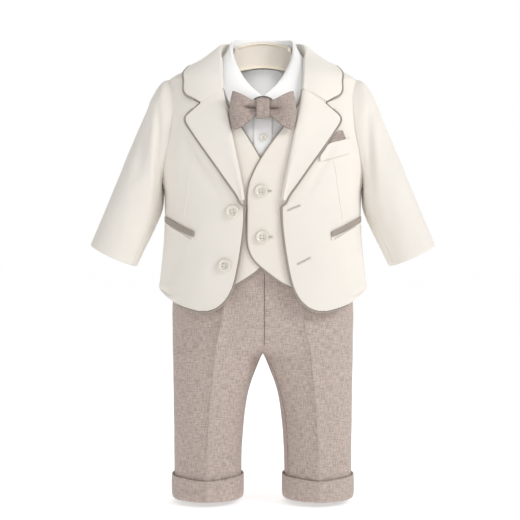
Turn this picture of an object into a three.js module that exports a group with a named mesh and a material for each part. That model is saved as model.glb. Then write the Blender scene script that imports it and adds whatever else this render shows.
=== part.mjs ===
// A baby's christening suit: jacket, waistcoat, shirt, bow tie and trousers, filled out as if worn.
// Millimetres. +Z is up, the front faces -Y, and +X is the wearer's left side.
// The origin lies between the shoulders, at the height of the neck seam.

import * as THREE from 'three';

// Driving dimensions
const seamGap = 0.3;
const jacketCloth = 2.0;
const waistcoatCloth = 1.5;
const shirtCloth = 1.2;
const trouserCloth = 1.6;
const jacketPiping = 2.2;
const waistcoatPiping = 1.6;
const buttonDiameter = 15;
const smallButtonDiameter = 8;
const ringPower = 2.3;

// Places of each layer, measured out from the waistcoat's form
const shirtLift = -3.6;
const tuckedShirtLift = -7.6;
const placketLift = -3.3;
const overlapLift = 1.9;

// Jacket form: the outer face of the cloth, one row for each level
const jacketRings = [
  { z: 5, half: 47, front: 4, back: 41 },
  { z: -2, half: 68, front: 17, back: 46 },
  { z: -11, half: 90, front: 27, back: 50 },
  { z: -21.5, half: 109, front: 36, back: 54 },
  { z: -45, half: 114.5, front: 47, back: 58 },
  { z: -70, half: 118, front: 55, back: 60 },
  { z: -110, half: 121, front: 61, back: 62 },
  { z: -140, half: 117.5, front: 62.5, back: 61 },
  { z: -158, half: 114.2, front: 63, back: 60 },
  { z: -200, half: 115, front: 63.5, back: 59 },
  { z: -249, half: 119.5, front: 66, back: 62 },
  { z: -292, half: 124, front: 69, back: 66 },
];

// Waistcoat form: the outer face of its cloth
const waistcoatRings = [
  { z: 1.5, half: 47, front: 3, back: 38 },
  { z: -5.5, half: 66.5, front: 14, back: 42 },
  { z: -14.5, half: 88.5, front: 24, back: 46 },
  { z: -25, half: 105, front: 33, back: 50 },
  { z: -45, half: 110.5, front: 43, back: 54 },
  { z: -70, half: 114, front: 50.5, back: 56 },
  { z: -110, half: 116, front: 56, back: 58 },
  { z: -140, half: 113, front: 57.5, back: 57 },
  { z: -158, half: 110.5, front: 58, back: 56 },
  { z: -200, half: 108.5, front: 58, back: 54 },
  { z: -235, half: 109.6, front: 59, back: 55 },
  { z: -266, half: 113, front: 62, back: 58 },
];

// Trouser form: one leg with its half of the seat. The ring's centre moves out as the legs part.
const trouserRings = [
  { z: -212, centre: 0, half: 105, front: 55, back: 50.4 },
  { z: -237, centre: 0, half: 105.2, front: 55.4, back: 50.8 },
  { z: -266, centre: 0, half: 104.2, front: 53.8, back: 51.4 },
  { z: -290, centre: 0, half: 105.8, front: 54.5, back: 53 },
  { z: -305, centre: 9, half: 96.6, front: 53, back: 53 },
  { z: -320, centre: 25, half: 80.4, front: 51, back: 52.5 },
  { z: -332, centre: 40.5, half: 64.8, front: 49.2, back: 51.5 },
  { z: -341, centre: 52.6, half: 52.6, front: 48, back: 50 },
  { z: -354, centre: 55.4, half: 49.5, front: 46.6, back: 48.2 },
  { z: -372, centre: 58.8, half: 45.8, front: 45, back: 46.2 },
  { z: -394, centre: 61.5, half: 42.7, front: 43.6, back: 44.6 },
  { z: -425, centre: 63.4, half: 40.4, front: 42.5, back: 43.2 },
  { z: -481, centre: 64.2, half: 39.1, front: 41.6, back: 42.2 },
  { z: -508, centre: 64.3, half: 39.1, front: 41.6, back: 42.2 },
];

// Jacket front: its free edge is the lapel's roll line, then the front edge and the rounded corner
const jacketEdge = [
  { z: 5, x: 50.1 },
  { z: -26.5, x: 48.4 },
  { z: -50.6, x: 44.4 },
  { z: -87.8, x: 37.1 },
  { z: -125.2, x: 29.4 },
  { z: -165.6, x: 22.6 },
  { z: -178, x: 22.3 },
  { z: -202, x: 23.8 },
  { z: -226.6, x: 27.2 },
  { z: -258, x: 33.6 },
  { z: -274.7, x: 41.4 },
  { z: -285.4, x: 53.2 },
  { z: -289.6, x: 65 },
];
const jacketHem = [
  { z: -264.3, x: 122 },
  { z: -271.5, x: 112.5 },
  { z: -277.5, x: 104.1 },
  { z: -283.4, x: 92.2 },
  { z: -286.9, x: 81.1 },
  { z: -289.6, x: 69 },
];
const jacketNeckLevel = 3;
const jacketSideHem = -264.3;
const jacketShoulderLevels = [3, -0.5, -5, -10.5, -16];
const jacketLowerLevels = [-166, -184, -204, -224, -243, -256, -264.3, -271.5, -277.5, -282.4, -286, -288.8];
const jacketArmhole = { top: -21.5, bottom: -150, reach: 31, steps: 10 };

// Lapel: a row for each section, from the gorge seam down to the break of the roll line
const lapelSections = [
  { rollZ: -38.7, edgeX: 84.6, edgeZ: -67.2, rise: 1.9 },
  { rollZ: -47, edgeX: 86.6, edgeZ: -73.6, rise: 0.6 },
  { rollZ: -60, edgeX: 80.3, edgeZ: -84.9, rise: 0 },
  { rollZ: -76, edgeX: 71.3, edgeZ: -98.6, rise: 0 },
  { rollZ: -96, edgeX: 59.8, edgeZ: -114.8, rise: 0 },
  { rollZ: -117, edgeX: 48.8, edgeZ: -130.2, rise: 0 },
  { rollZ: -137, edgeX: 37.5, edgeZ: -146.6, rise: 0 },
  { rollZ: -153, edgeX: 29.6, edgeZ: -157.6, rise: 0 },
  { rollZ: -164, edgeX: 25.6, edgeZ: -165.5, rise: 0 },
];
const lapelNotch = 0.62;
const lapelColumns = [
  { along: -0.06, shift: -2.0, inside: -1.9, outside: -0.3 },
  { along: 0, shift: -0.5, inside: 0.4, outside: 2.5 },
  { along: 0.14, shift: 0, inside: 1.5, outside: 3.5 },
  { along: 0.36, shift: 0, inside: 0.9, outside: 2.9 },
  { along: 0.62, shift: 0, inside: 0.5, outside: 2.4 },
  { along: 0.84, shift: 0, inside: 0.6, outside: 2.4 },
  { along: 1, shift: 0, inside: 0.8, outside: 2.5 },
];

// Where the jacket's piping crosses from the lapel's outer edge to the front edge
const pipingTurn = [
  { x: 24.4, z: -169.4, lift: 1.9 },
  { x: 20.6, z: -172.2, lift: 1.5 },
  { x: 20.5, z: -176.5, lift: -0.4 },
];
const pipingHemEnd = -281;

// Jacket collar: sections round the back of the neck, then along the front edge to the gorge seam
const collarNeckSections = [
  { rollX: 0, rollY: 43.6, rollZ: 26, footX: 0, footY: 41.8, footZ: 3.5, angle: 90, edgeZ: -9 },
  { rollX: 19.5, rollY: 41.2, rollZ: 26, footX: 19.5, footY: 40, footZ: 3.5, angle: 64, edgeZ: -9 },
  { rollX: 35, rollY: 33.5, rollZ: 25.5, footX: 35.2, footY: 33.4, footZ: 3.5, angle: 42, edgeZ: -8.5 },
  { rollX: 45, rollY: 20, rollZ: 23.5, footX: 46.8, footY: 20.5, footZ: 3.6, angle: 20, edgeZ: -7.5 },
  { rollX: 49.5, rollY: 7, rollZ: 18.5, footX: 51.4, footY: 6.5, footZ: 3.7, angle: 6, edgeZ: -6.5 },
  { rollX: 51, rollY: -4, rollZ: 9, footX: 49.4, footY: -1.6, footZ: 4.6, angle: -2, edgeZ: -8 },
];
const collarFrontSections = [
  { seamZ: -4, angle: -6, edgeZ: -11.5, notch: 0 },
  { seamZ: -13, angle: -12.5, edgeZ: -18.5, notch: 0 },
  { seamZ: -22, angle: -16.3, edgeZ: -27, notch: 0 },
  { seamZ: -30.5, angle: -18.3, edgeZ: -36, notch: 0.35 },
  { seamZ: -37.8, angle: -21.3, edgeZ: -43, notch: 1 },
];
const collarNotch = { along: 0.6, x: -0.6, z: -12.6 };
const collarFall = [
  { along: 0, gap: 0 },
  { along: 0.06, gap: 1.6 },
  { along: 0.3, gap: 2.6 },
  { along: 0.6, gap: 2.1 },
  { along: 0.82, gap: 1.5 },
  { along: 1, gap: 1 },
];
const collarCloth = 1.8;
const collarEdgeLift = 2.6;
const collarSeamIn = { roll: 0.8, foot: 0.4 };

// Sleeves: section planes fan out from the armhole to the hem. y = bend is the middle of a section.
const jacketSleeve = [
  { outerX: 115, outerZ: -22.6, innerX: 116.3, innerZ: -156, depth: 32.5, bend: 0, dip: 0 },
  { outerX: 122, outerZ: -29.5, innerX: 116.4, innerZ: -164, depth: 33.5, bend: 0, dip: 0 },
  { outerX: 129, outerZ: -42, innerX: 117.2, innerZ: -172, depth: 34, bend: 0, dip: 0 },
  { outerX: 137, outerZ: -60, innerX: 120.5, innerZ: -182, depth: 33.5, bend: -1, dip: 0 },
  { outerX: 149.5, outerZ: -90.5, innerX: 125.5, innerZ: -193.5, depth: 31.5, bend: -2, dip: 0 },
  { outerX: 162, outerZ: -121.5, innerX: 131, innerZ: -205.5, depth: 29.5, bend: -4, dip: 0.5 },
  { outerX: 180.5, outerZ: -167, innerX: 139, innerZ: -222.5, depth: 27, bend: -7, dip: 1.5 },
  { outerX: 199.5, outerZ: -213, innerX: 146.3, innerZ: -238, depth: 25, bend: -10, dip: 3 },
];
const sleeveSeamFront = 8;
const sleeveSeamBack = 13;
const sleeveRoundness = 0.9;
const seamRadius = 18;
const shirtSleeve = [
  { outerX: 110.5, outerZ: -29, innerX: 116, innerZ: -143, depth: 26.5, bend: 0, dip: 0 },
  { outerX: 117, outerZ: -34, innerX: 121.4, innerZ: -152, depth: 27.5, bend: 0, dip: 0 },
  { outerX: 124.2, outerZ: -45.5, innerX: 122.4, innerZ: -167, depth: 28, bend: 0, dip: 0 },
  { outerX: 132, outerZ: -62.5, innerX: 125.6, innerZ: -179.5, depth: 27.5, bend: -1, dip: 0 },
  { outerX: 157, outerZ: -124, innerX: 136, innerZ: -203, depth: 23.8, bend: -4, dip: 0 },
  { outerX: 182, outerZ: -184.6, innerX: 146, innerZ: -225.6, depth: 20.5, bend: -8, dip: 1 },
];

// Pockets on the jacket: top and bottom edge at each place across the front
const hipWelt = [
  { x: 77.4, top: -199.5, bottom: -204.9 },
  { x: 86, top: -195.6, bottom: -201.4 },
  { x: 95, top: -191, bottom: -197.2 },
  { x: 104, top: -185.8, bottom: -192 },
  { x: 111.6, top: -181.4, bottom: -187.4 },
];
const hipJet = { drop: 7.2, height: 2.4 };
const breastWelt = [
  { x: 64.5, top: -114.4, bottom: -120.6 },
  { x: 69.5, top: -107.4, bottom: -118.8 },
  { x: 74, top: -101.1, bottom: -117.4 },
  { x: 85, top: -97.4, bottom: -114.2 },
  { x: 99.4, top: -93.1, bottom: -109.7 },
];
const pocketSquare = [
  { x: 75.4, top: -98.4, bottom: -99.8 },
  { x: 82.6, top: -88, bottom: -97.5 },
  { x: 89.9, top: -85, bottom: -95.2 },
  { x: 93, top: -93.2, bottom: -94.4 },
];

// Waistcoat fronts: the free edge from shoulder to hem. The left front laps over the right one.
const overFrontEdge = [
  { z: 1, x: 50 },
  { z: -25, x: 50.5 },
  { z: -45, x: 46 },
  { z: -60, x: 38.5 },
  { z: -82.5, x: 23.4 },
  { z: -105.5, x: 6 },
  { z: -120.2, x: -2.7 },
  { z: -141.6, x: -13.2 },
  { z: -160, x: -16.6 },
  { z: -209.2, x: -16.8 },
  { z: -220.4, x: -15 },
  { z: -228.3, x: -11.5 },
  { z: -235.6, x: -5.5 },
  { z: -243, x: 2.8 },
  { z: -255.8, x: 20 },
  { z: -264, x: 36 },
];
const underFrontEdge = [
  { z: 1, x: 50 },
  { z: -25, x: 50.5 },
  { z: -45, x: 46 },
  { z: -60, x: 38.5 },
  { z: -82.5, x: 24.6 },
  { z: -97.4, x: 14.6 },
  { z: -114.5, x: 5.5 },
  { z: -134, x: -6 },
  { z: -160, x: -12 },
  { z: -209.2, x: -12 },
  { z: -228.3, x: -5 },
  { z: -240.6, x: 4.4 },
  { z: -248.5, x: 14.5 },
  { z: -255.8, x: 25.7 },
  { z: -263, x: 38 },
];
const waistcoatHem = [
  { z: -256, x: 111.5 },
  { z: -260, x: 90 },
  { z: -263, x: 66 },
  { z: -265.5, x: 44 },
];
const waistcoatSideHem = -256;
const waistcoatPipingTop = -16;
const waistcoatShoulderLevels = [0.2, -4, -10, -16];
const waistcoatLowerLevels = [-158, -180, -205, -219, -229, -237, -244, -250, -256, -260, -262.8];
const waistcoatBackLevels = [-170, -200, -232, -256];
const waistcoatArmhole = { top: -21, bottom: -149, reach: 34, steps: 6 };

// Shirt: its neckline at the front, and its armhole
const shirtNeckline = [
  { z: 1.5, x: 46 },
  { z: -10, x: 43.5 },
  { z: -22, x: 40 },
  { z: -34, x: 33.5 },
  { z: -44, x: 24.5 },
  { z: -52, x: 12 },
  { z: -57, x: 0.15 },
];
const shirtCentreLevel = -57;
const shirtNeckLevels = [-1.5, -8, -16];
const shirtExtraLevels = [-34, -50, -57];
const shirtLowerLevels = [-165, -192, -208, -240];
const shirtArmhole = { top: -27, bottom: -138, reach: 26.5, steps: 6 };
const tuck = { start: -188, end: -207 };
const placket = {
  half: 10.5,
  columns: [-1, -0.33, 0.33, 1],
  levels: [-58, -75, -95, -120, -138, -165, -192, -208, -238],
};

// Shirt collar: roll line, foot of the stand, and the outer edge of the fall
const shirtCollarSections = [
  { rollX: 0, rollY: 36.4, rollZ: 30.5, footX: 0, footY: 35.2, footZ: 0, edgeX: 0, edgeY: 38.2, edgeZ: 8 },
  { rollX: 17, rollY: 33.6, rollZ: 30.2, footX: 17.6, footY: 33, footZ: 0, edgeX: 18, edgeY: 36, edgeZ: 8 },
  { rollX: 29, rollY: 24.5, rollZ: 29, footX: 31, footY: 26, footZ: 0, edgeX: 32, edgeY: 28.4, edgeZ: 8 },
  { rollX: 35.5, rollY: 13, rollZ: 26, footX: 39.5, footY: 14, footZ: 0, edgeX: 42.5, edgeY: 17, edgeZ: 8 },
  { rollX: 36, rollY: 3, rollZ: 15.5, footX: 43, footY: 3.5, footZ: 0, edgeX: 47, edgeY: 3, edgeZ: 3.6 },
  { rollX: 33.4, rollY: -6.5, rollZ: 2, footX: 42.4, footY: -6, footZ: -5.5, edgeX: 47.8, edgeY: -11, edgeZ: -6 },
  { rollX: 28.6, rollY: -15, rollZ: -10, footX: 39, footY: -17, footZ: -17, edgeX: 47.6, edgeY: -25, edgeZ: -20 },
  { rollX: 23.2, rollY: -23, rollZ: -21, footX: 33, footY: -27, footZ: -29, edgeX: 45.6, edgeY: -33, edgeZ: -33 },
  { rollX: 16.2, rollY: -30.5, rollZ: -31, footX: 24.2, footY: -34.6, footZ: -40, edgeX: 42.2, edgeY: -38, edgeZ: -45 },
  { rollX: 8.6, rollY: -37.4, rollZ: -39.4, footX: 12.5, footY: -40.6, footZ: -49.5, edgeX: 37.4, edgeY: -42, edgeZ: -55 },
  { rollX: 1, rollY: -42, rollZ: -45.6, footX: 1, footY: -43.4, footZ: -54.6, edgeX: 33.4, edgeY: -44.4, edgeZ: -62.4 },
];
const shirtCollarFall = [
  { along: 0, gap: 0, bulge: 0 },
  { along: 0.1, gap: 1, bulge: 1.1 },
  { along: 0.35, gap: 0.8, bulge: 1.7 },
  { along: 0.68, gap: 0.6, bulge: 1 },
  { along: 1, gap: 0.5, bulge: 0 },
];
const shirtCollarCloth = 1.2;

// Contrast band inside the back of the neck, with a rim along each edge. Both edges drop to the sides.
const neckBand = {
  top: 28.4,
  topDrop: 9.5,
  bottom: -2.3,
  bottomDrop: 7.1,
  halfWidth: 36,
  highest: 0.92,
  cloth: 1,
  behind: 0.4,
  narrow: 0.92,
};
const neckBandLevels = [0, 0.3, 0.65, 1];
const neckBandRims = [
  { name: 'neck_band_rim_top', low: 0.935, high: 1.01 },
  { name: 'neck_band_rim_bottom', low: -0.01, high: 0.08 },
];

// Bow tie, worked out from the knot outwards
const bow = {
  cloth: 1.3,
  knotHalfWidth: 7.2,
  knotTop: -49.4,
  knotBottom: -72.8,
  knotFront: -68.5,
  knotBack: -47,
  tipBow: 3.4,
};
const bowWing = [
  { along: 0, x: 4, top: -54.8, bottom: -66.6, front: -63.8, back: -57 },
  { along: 0.3, x: 12.4, top: -51.8, bottom: -72.4, front: -64.1, back: -56 },
  { along: 0.6, x: 21, top: -47.4, bottom: -80.2, front: -66.6, back: -55.4 },
  { along: 0.88, x: 30, top: -43.4, bottom: -84, front: -65, back: -55.4 },
  { along: 1, x: 34.2, top: -41.8, bottom: -85, front: -61, back: -58.4 },
];
const bowPleat = { depth: 3.2, rows: 8, width: 0.2, middle: 0.52, fadeFrom: 0.1, fadeTo: 0.75 };
const bowPath = [0, 0.3, 0.6, 0.88, 1, -0.88, -0.6, -0.3, -0.001];
const bowKnotForm = { columns: [-1, -0.5, 0.5, 1], round: 14, squareness: 0.7, pinch: 0.94 };

// Trousers: crease line down the front of a leg, levels, waistband and turn-up
const creaseLine = [
  { z: -237, x: 40 },
  { z: -297, x: 45.6 },
  { z: -337, x: 54.3 },
  { z: -397, x: 60.3 },
  { z: -451, x: 63 },
  { z: -508, x: 64 },
];
const creaseHeight = 1.6;
const waistband = { top: -212, bottom: -236.7 };
const trouserLevels = [-237, -260, -290, -306, -320, -330, -337, -340.6, -345, -356, -374, -400, -440,
  -476, -503.6];
const crotchLevel = -341;
const turnUp = [
  { z: -480.4, lift: 2.7 },
  { z: -492, lift: 3 },
  { z: -504.4, lift: 2.6 },
  { z: -507, lift: 0.4 },
  { z: -506.9, lift: -1.6 },
];
const turnUpCloth = 2;
const turnUpDip = 2.4;

// Fastenings, on the right front of the jacket and the left front of the waistcoat
const jacketButtons = [
  { name: 'jacket_button_upper', x: 34.4, z: -177.2 },
  { name: 'jacket_button_lower', x: 43.2, z: -237.8 },
];
const waistcoatButtons = [
  { name: 'waistcoat_button_upper', x: -2.2, z: -154.1 },
  { name: 'waistcoat_button_lower', x: -1, z: -205.8 },
];
const shirtButton = { x: 0.2, z: -93.4 };

// Materials
const ivoryCloth = { color: 0xefe9dd, roughness: 0.85, metalness: 0 };
const waistcoatIvory = { color: 0xeee6da, roughness: 0.85, metalness: 0 };
const taupeSatin = { color: 0x968d84, roughness: 0.6, metalness: 0 };
const taupeLinen = { color: 0xb2a59e, roughness: 0.9, metalness: 0 };
const whiteCotton = { color: 0xf7f6f4, roughness: 0.8, metalness: 0 };
const beigeTwill = { color: 0xe4ddd2, roughness: 0.8, metalness: 0 };
const creamRib = { color: 0xfaf0e1, roughness: 0.7, metalness: 0 };
const ivoryHorn = { color: 0xf2ecdf, roughness: 0.35, metalness: 0 };

// Tables: a smooth curve through every column, straight on past its ends
function curve(table, key) {
  const up = table[table.length - 1][key] > table[0][key];
  const rows = up ? table : [...table].reverse();
  const names = Object.keys(rows[0]).filter((name) => typeof rows[0][name] === 'number');
  const steps = rows.slice(1).map((row, i) => row[key] - rows[i][key]);
  const slopes = {};
  for (const name of names) {
    const rises = steps.map((step, i) => (rows[i + 1][name] - rows[i][name]) / step);
    slopes[name] = rows.map((row, i) => {
      const before = rises[Math.max(i - 1, 0)];
      const after = rises[Math.min(i, rises.length - 1)];
      return before * after <= 0 ? 0 : (2 * before * after) / (before + after);
    });
  }
  return (at) => {
    let i = 0;
    while (i < steps.length - 1 && at > rows[i + 1][key]) {
      i += 1;
    }
    const result = {};
    for (const name of names) {
      result[name] = hermite(rows[i][name], rows[i + 1][name], slopes[name][i], slopes[name][i + 1],
        steps[i], at - rows[i][key]);
    }
    return result;
  };
}

function hermite(a, b, slopeA, slopeB, step, run) {
  if (run < 0) {
    return a + slopeA * run;
  }
  if (run > step) {
    return b + slopeB * (run - step);
  }
  const t = run / step;
  const s = 1 - t;
  return s * s * (1 + 2 * t) * a + t * t * (1 + 2 * s) * b + step * t * s * (s * slopeA - t * slopeB);
}

const mix = (a, b, t) => a + (b - a) * t;
const radians = (degrees) => (degrees * Math.PI) / 180;

function ease(start, end, at) {
  const t = Math.min(Math.max((at - start) / (end - start), 0), 1);
  return t * t * (3 - 2 * t);
}

const jacketForm = curve(jacketRings, 'z');
const waistcoatForm = curve(waistcoatRings, 'z');
const trouserForm = curve(trouserRings, 'z');

// Points on a form. Angle 0 is the side at +X, -90 degrees the front and +90 the back.
function bare(form, angle, z) {
  const ring = form(z);
  const depth = Math.sin(angle) < 0 ? ring.front : ring.back;
  const wide = Math.abs(Math.cos(angle) / ring.half) ** ringPower;
  const deep = Math.abs(Math.sin(angle) / depth) ** ringPower;
  const reach = (wide + deep) ** (-1 / ringPower);
  return new THREE.Vector3((ring.centre ?? 0) + reach * Math.cos(angle), reach * Math.sin(angle), z);
}

// Small steps round and up a form, to find which way its cloth faces
const stepRound = 0.004;
const stepUp = 0.4;

function outward(form, angle, z) {
  const around = bare(form, angle + stepRound, z).sub(bare(form, angle - stepRound, z));
  const up = bare(form, angle, z + stepUp).sub(bare(form, angle, z - stepUp));
  return around.cross(up).normalize();
}

function place(form, angle, z, lift) {
  return bare(form, angle, z).addScaledVector(outward(form, angle, z), lift);
}

function search(low, high, tooFar) {
  let a = low;
  let b = high;
  for (let i = 0; i < 40; i += 1) {
    const middle = (a + b) / 2;
    if (tooFar(middle)) {
      b = middle;
    } else {
      a = middle;
    }
  }
  return (a + b) / 2;
}

// The angle on the front (side -1) or back (side 1) of a ring where it passes x
function angleAcross(form, x, z, side = -1) {
  return side * search(0, Math.PI, (angle) => bare(form, side * angle, z).x < x);
}

// The angle near the side seam where the ring lies a depth in front of it or behind it
function angleBeside(form, depth, z, side) {
  return side * search(0, Math.PI / 2, (angle) => Math.abs(bare(form, angle * side, z).y) > depth);
}

function onFront(form, x, z, lift) {
  return place(form, angleAcross(form, x, z), z, lift);
}

// Keeps a point clear of a form, by moving it straight out
function clearOf(form, point, gap) {
  const angle = Math.atan2(point.y, point.x);
  const surface = bare(form, angle, point.z);
  const normal = outward(form, angle, point.z);
  const apart = point.clone().sub(surface).dot(normal);
  return apart < gap ? point.clone().addScaledVector(normal, gap - apart) : point;
}

// Solids: a wall has an outer and an inner grid of points, joined by a rim round its free edges
function wall(outer, inner, closed = false) {
  const rows = outer.length;
  const columns = outer[0].length;
  const points = [...outer.flat(), ...inner.flat()];
  const half = rows * columns;
  const faces = [];
  const span = closed ? columns : columns - 1;
  for (let i = 0; i < rows - 1; i += 1) {
    for (let j = 0; j < span; j += 1) {
      const a = i * columns + j;
      const b = i * columns + ((j + 1) % columns);
      const c = b + columns;
      const d = a + columns;
      if (points[a].distanceTo(points[c]) < points[b].distanceTo(points[d])) {
        faces.push([a, b, c], [a, c, d]);
      } else {
        faces.push([a, b, d], [b, c, d]);
      }
    }
  }
  return shell(points, faces, half);
}

function shell(points, faces, half) {
  const edges = new Set();
  for (const [a, b, c] of faces) {
    edges.add(`${a},${b}`).add(`${b},${c}`).add(`${c},${a}`);
  }
  const all = [...faces, ...faces.map(([a, b, c]) => [a + half, c + half, b + half])];
  for (const edge of edges) {
    const [a, b] = edge.split(',').map(Number);
    if (!edges.has(`${b},${a}`)) {
      all.push([b, a, a + half], [b, a + half, b + half]);
    }
  }
  return solid(points, all);
}

function solid(points, faces) {
  let volume = 0;
  for (const [a, b, c] of faces) {
    volume += points[a].dot(points[b].clone().cross(points[c]));
  }
  const turned = volume < 0 ? faces.map(([a, b, c]) => [a, c, b]) : faces;
  const geometry = new THREE.BufferGeometry();
  geometry.setAttribute('position', new THREE.Float32BufferAttribute(points.flatMap((p) => p.toArray()), 3));
  geometry.setIndex(turned.flat());
  geometry.computeVertexNormals();
  return geometry;
}

function mirrored(geometry) {
  const copy = geometry.clone();
  copy.scale(-1, 1, 1);
  const index = copy.getIndex();
  for (let i = 0; i < index.count; i += 3) {
    const kept = index.getX(i + 1);
    index.setX(i + 1, index.getX(i + 2));
    index.setX(i + 2, kept);
  }
  copy.computeVertexNormals();
  return copy;
}

// The same grid of points, moved along its own normals
function moved(grid, distance, closed = false) {
  const rows = grid.length;
  const columns = grid[0].length;
  return grid.map((row, i) => row.map((point, j) => {
    const before = closed ? (j + columns - 1) % columns : Math.max(j - 1, 0);
    const after = closed ? (j + 1) % columns : Math.min(j + 1, columns - 1);
    const across = row[after].clone().sub(row[before]);
    const along = grid[Math.min(i + 1, rows - 1)][j].clone().sub(grid[Math.max(i - 1, 0)][j]);
    return point.clone().addScaledVector(along.cross(across).normalize(), distance);
  }));
}

// How sharply a cord's path may turn before its stops are held back
const sharpestTurn = 0.6;

// Piping: a four-sided cord just outside a wall's free edge. A stop on its way has a centre and the
// direction through the cloth.
function edgeOf(built, row, column, backRow, backColumn) {
  return {
    outer: built.outer[row][column],
    inner: built.inner[row][column],
    behind: built.outer[backRow][backColumn],
  };
}

function stopsAlong(edge, width) {
  const middles = edge.map((place) => place.outer.clone().lerp(place.inner, 0.5));
  return edge.map(({ outer, inner, behind }, i) => {
    const middle = middles[i];
    const next = middles[Math.min(i + 1, middles.length - 1)];
    const last = middles[Math.max(i - 1, 0)];
    const along = next.clone().sub(last).normalize();
    const into = i > 0 ? middle.clone().sub(last).normalize() : along;
    const through = outer.clone().sub(inner).normalize();
    const out = along.clone().cross(through).normalize();
    const side = out.dot(middle.clone().sub(behind)) < 0 ? -1 : 1;
    const reach = (width / 2 + seamGap) / Math.max(along.dot(into), sharpestTurn);
    return { centre: middle.clone().addScaledVector(out, side * reach), through };
  });
}

function cord(stops, width) {
  const corners = [[1, 0], [0, 1], [-1, 0], [0, -1]];
  const rings = stops.map(({ centre, through }, i) => {
    const next = stops[Math.min(i + 1, stops.length - 1)].centre;
    const last = stops[Math.max(i - 1, 0)].centre;
    const along = next.clone().sub(last).normalize();
    const out = through.clone().cross(along).normalize();
    return corners.map(([a, b]) => centre.clone()
      .addScaledVector(out, (a * width) / 2)
      .addScaledVector(through, (b * width) / 2));
  });
  return capped(rings);
}

// A solid through a row of rings, closed by a flat face at each end
function capped(rings) {
  const sides = rings[0].length;
  const points = rings.flat();
  const faces = [];
  for (let i = 0; i < rings.length - 1; i += 1) {
    for (let j = 0; j < sides; j += 1) {
      const a = i * sides + j;
      const b = i * sides + ((j + 1) % sides);
      faces.push([a, b, b + sides], [a, b + sides, a + sides]);
    }
  }
  const last = (rings.length - 1) * sides;
  for (let j = 1; j < sides - 1; j += 1) {
    faces.push([0, j + 1, j], [last, last + j, last + j + 1]);
  }
  return solid(points, faces);
}

// Panels of a garment's body
function armholeOf(cut) {
  const middle = (cut.top + cut.bottom) / 2;
  const half = (cut.top - cut.bottom) / 2;
  const turns = Array.from({ length: cut.steps + 1 }, (_, i) => (Math.PI * i) / cut.steps);
  return {
    levels: turns.map((turn) => middle + half * Math.cos(turn)),
    depth: (z) => cut.reach * Math.sqrt(Math.max(1 - ((z - middle) / half) ** 2, 0)),
    level: (turn) => middle + half * Math.cos(turn),
  };
}

// The angle of a panel's outer end: the side or shoulder seam, or the armhole between them
function bodyEnd(form, armhole, side) {
  return (z) => {
    const depth = armhole.depth(z);
    return depth > 0 ? angleBeside(form, depth, z, side) : 0;
  };
}

const inFront = (point) => point.setY(Math.min(point.y, -seamGap / 2));
const behindSeam = (point) => point.setY(Math.max(point.y, seamGap / 2));
const leftHalf = (point) => point.setX(Math.max(point.x, seamGap / 2));

function panel({ form, levels, columns, start, end, outside, inside, keep }) {
  const grid = (lift) => levels.map((z) => Array.from({ length: columns + 1 }, (_, j) => {
    const angle = mix(start(z), end(z), j / columns);
    const height = typeof lift === 'function' ? lift(angle, z) : lift;
    return keep(place(form, angle, z, height));
  }));
  const outer = grid(outside);
  const inner = grid(inside);
  return { outer, inner, geometry: wall(outer, inner) };
}

const descending = (...lists) => [...new Set(lists.flat())].sort((a, b) => b - a);

// Jacket
const jacketArm = armholeOf(jacketArmhole);
const jacketEdgeAt = curve(jacketEdge, 'z');
const jacketHemAt = curve(jacketHem, 'z');

function jacketFront() {
  const side = bodyEnd(jacketForm, jacketArm, -1);
  return panel({
    form: jacketForm,
    levels: descending(jacketShoulderLevels, jacketArm.levels, jacketLowerLevels),
    columns: 8,
    start: (z) => angleAcross(jacketForm, jacketEdgeAt(z).x, z),
    end: (z) => (z < jacketSideHem ? angleAcross(jacketForm, jacketHemAt(z).x, z) : side(z)),
    outside: 0,
    inside: -jacketCloth,
    keep: inFront,
  });
}

function jacketBack() {
  const side = bodyEnd(jacketForm, jacketArm, 1);
  return panel({
    form: jacketForm,
    levels: descending(jacketShoulderLevels, jacketArm.levels, [-180, -208, -236, jacketSideHem]),
    columns: 14,
    start: side,
    end: (z) => Math.PI - side(z),
    outside: 0,
    inside: -jacketCloth,
    keep: behindSeam,
  });
}

function sleeveRings(form, armhole, cut, lift, stations) {
  const turns = Array.from({ length: cut.steps * 2 }, (_, i) => (Math.PI * i) / cut.steps);
  return (nudge) => {
    const first = turns.map((turn, i) => {
      const z = armhole.level(turn + nudge[i]);
      const side = Math.sin(turn + nudge[i]) >= 0 ? -1 : 1;
      const angle = angleBeside(form, armhole.depth(z), z, side);
      return place(form, angle, z, lift).add(new THREE.Vector3(seamGap, 0, 0));
    });
    const others = stations.map((row) => turns.map((turn, i) => {
      const at = turn + nudge[i];
      const across = (1 - Math.cos(at)) / 2;
      const x = mix(row.outerX, row.innerX, across);
      const z = mix(row.outerZ, row.innerZ, across) - row.dip * Math.max(Math.sin(at), 0);
      const deep = Math.sign(Math.sin(at)) * Math.abs(Math.sin(at)) ** sleeveRoundness;
      return new THREE.Vector3(x, row.bend - row.depth * deep, z);
    }));
    return [first, ...others];
  };
}

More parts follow.
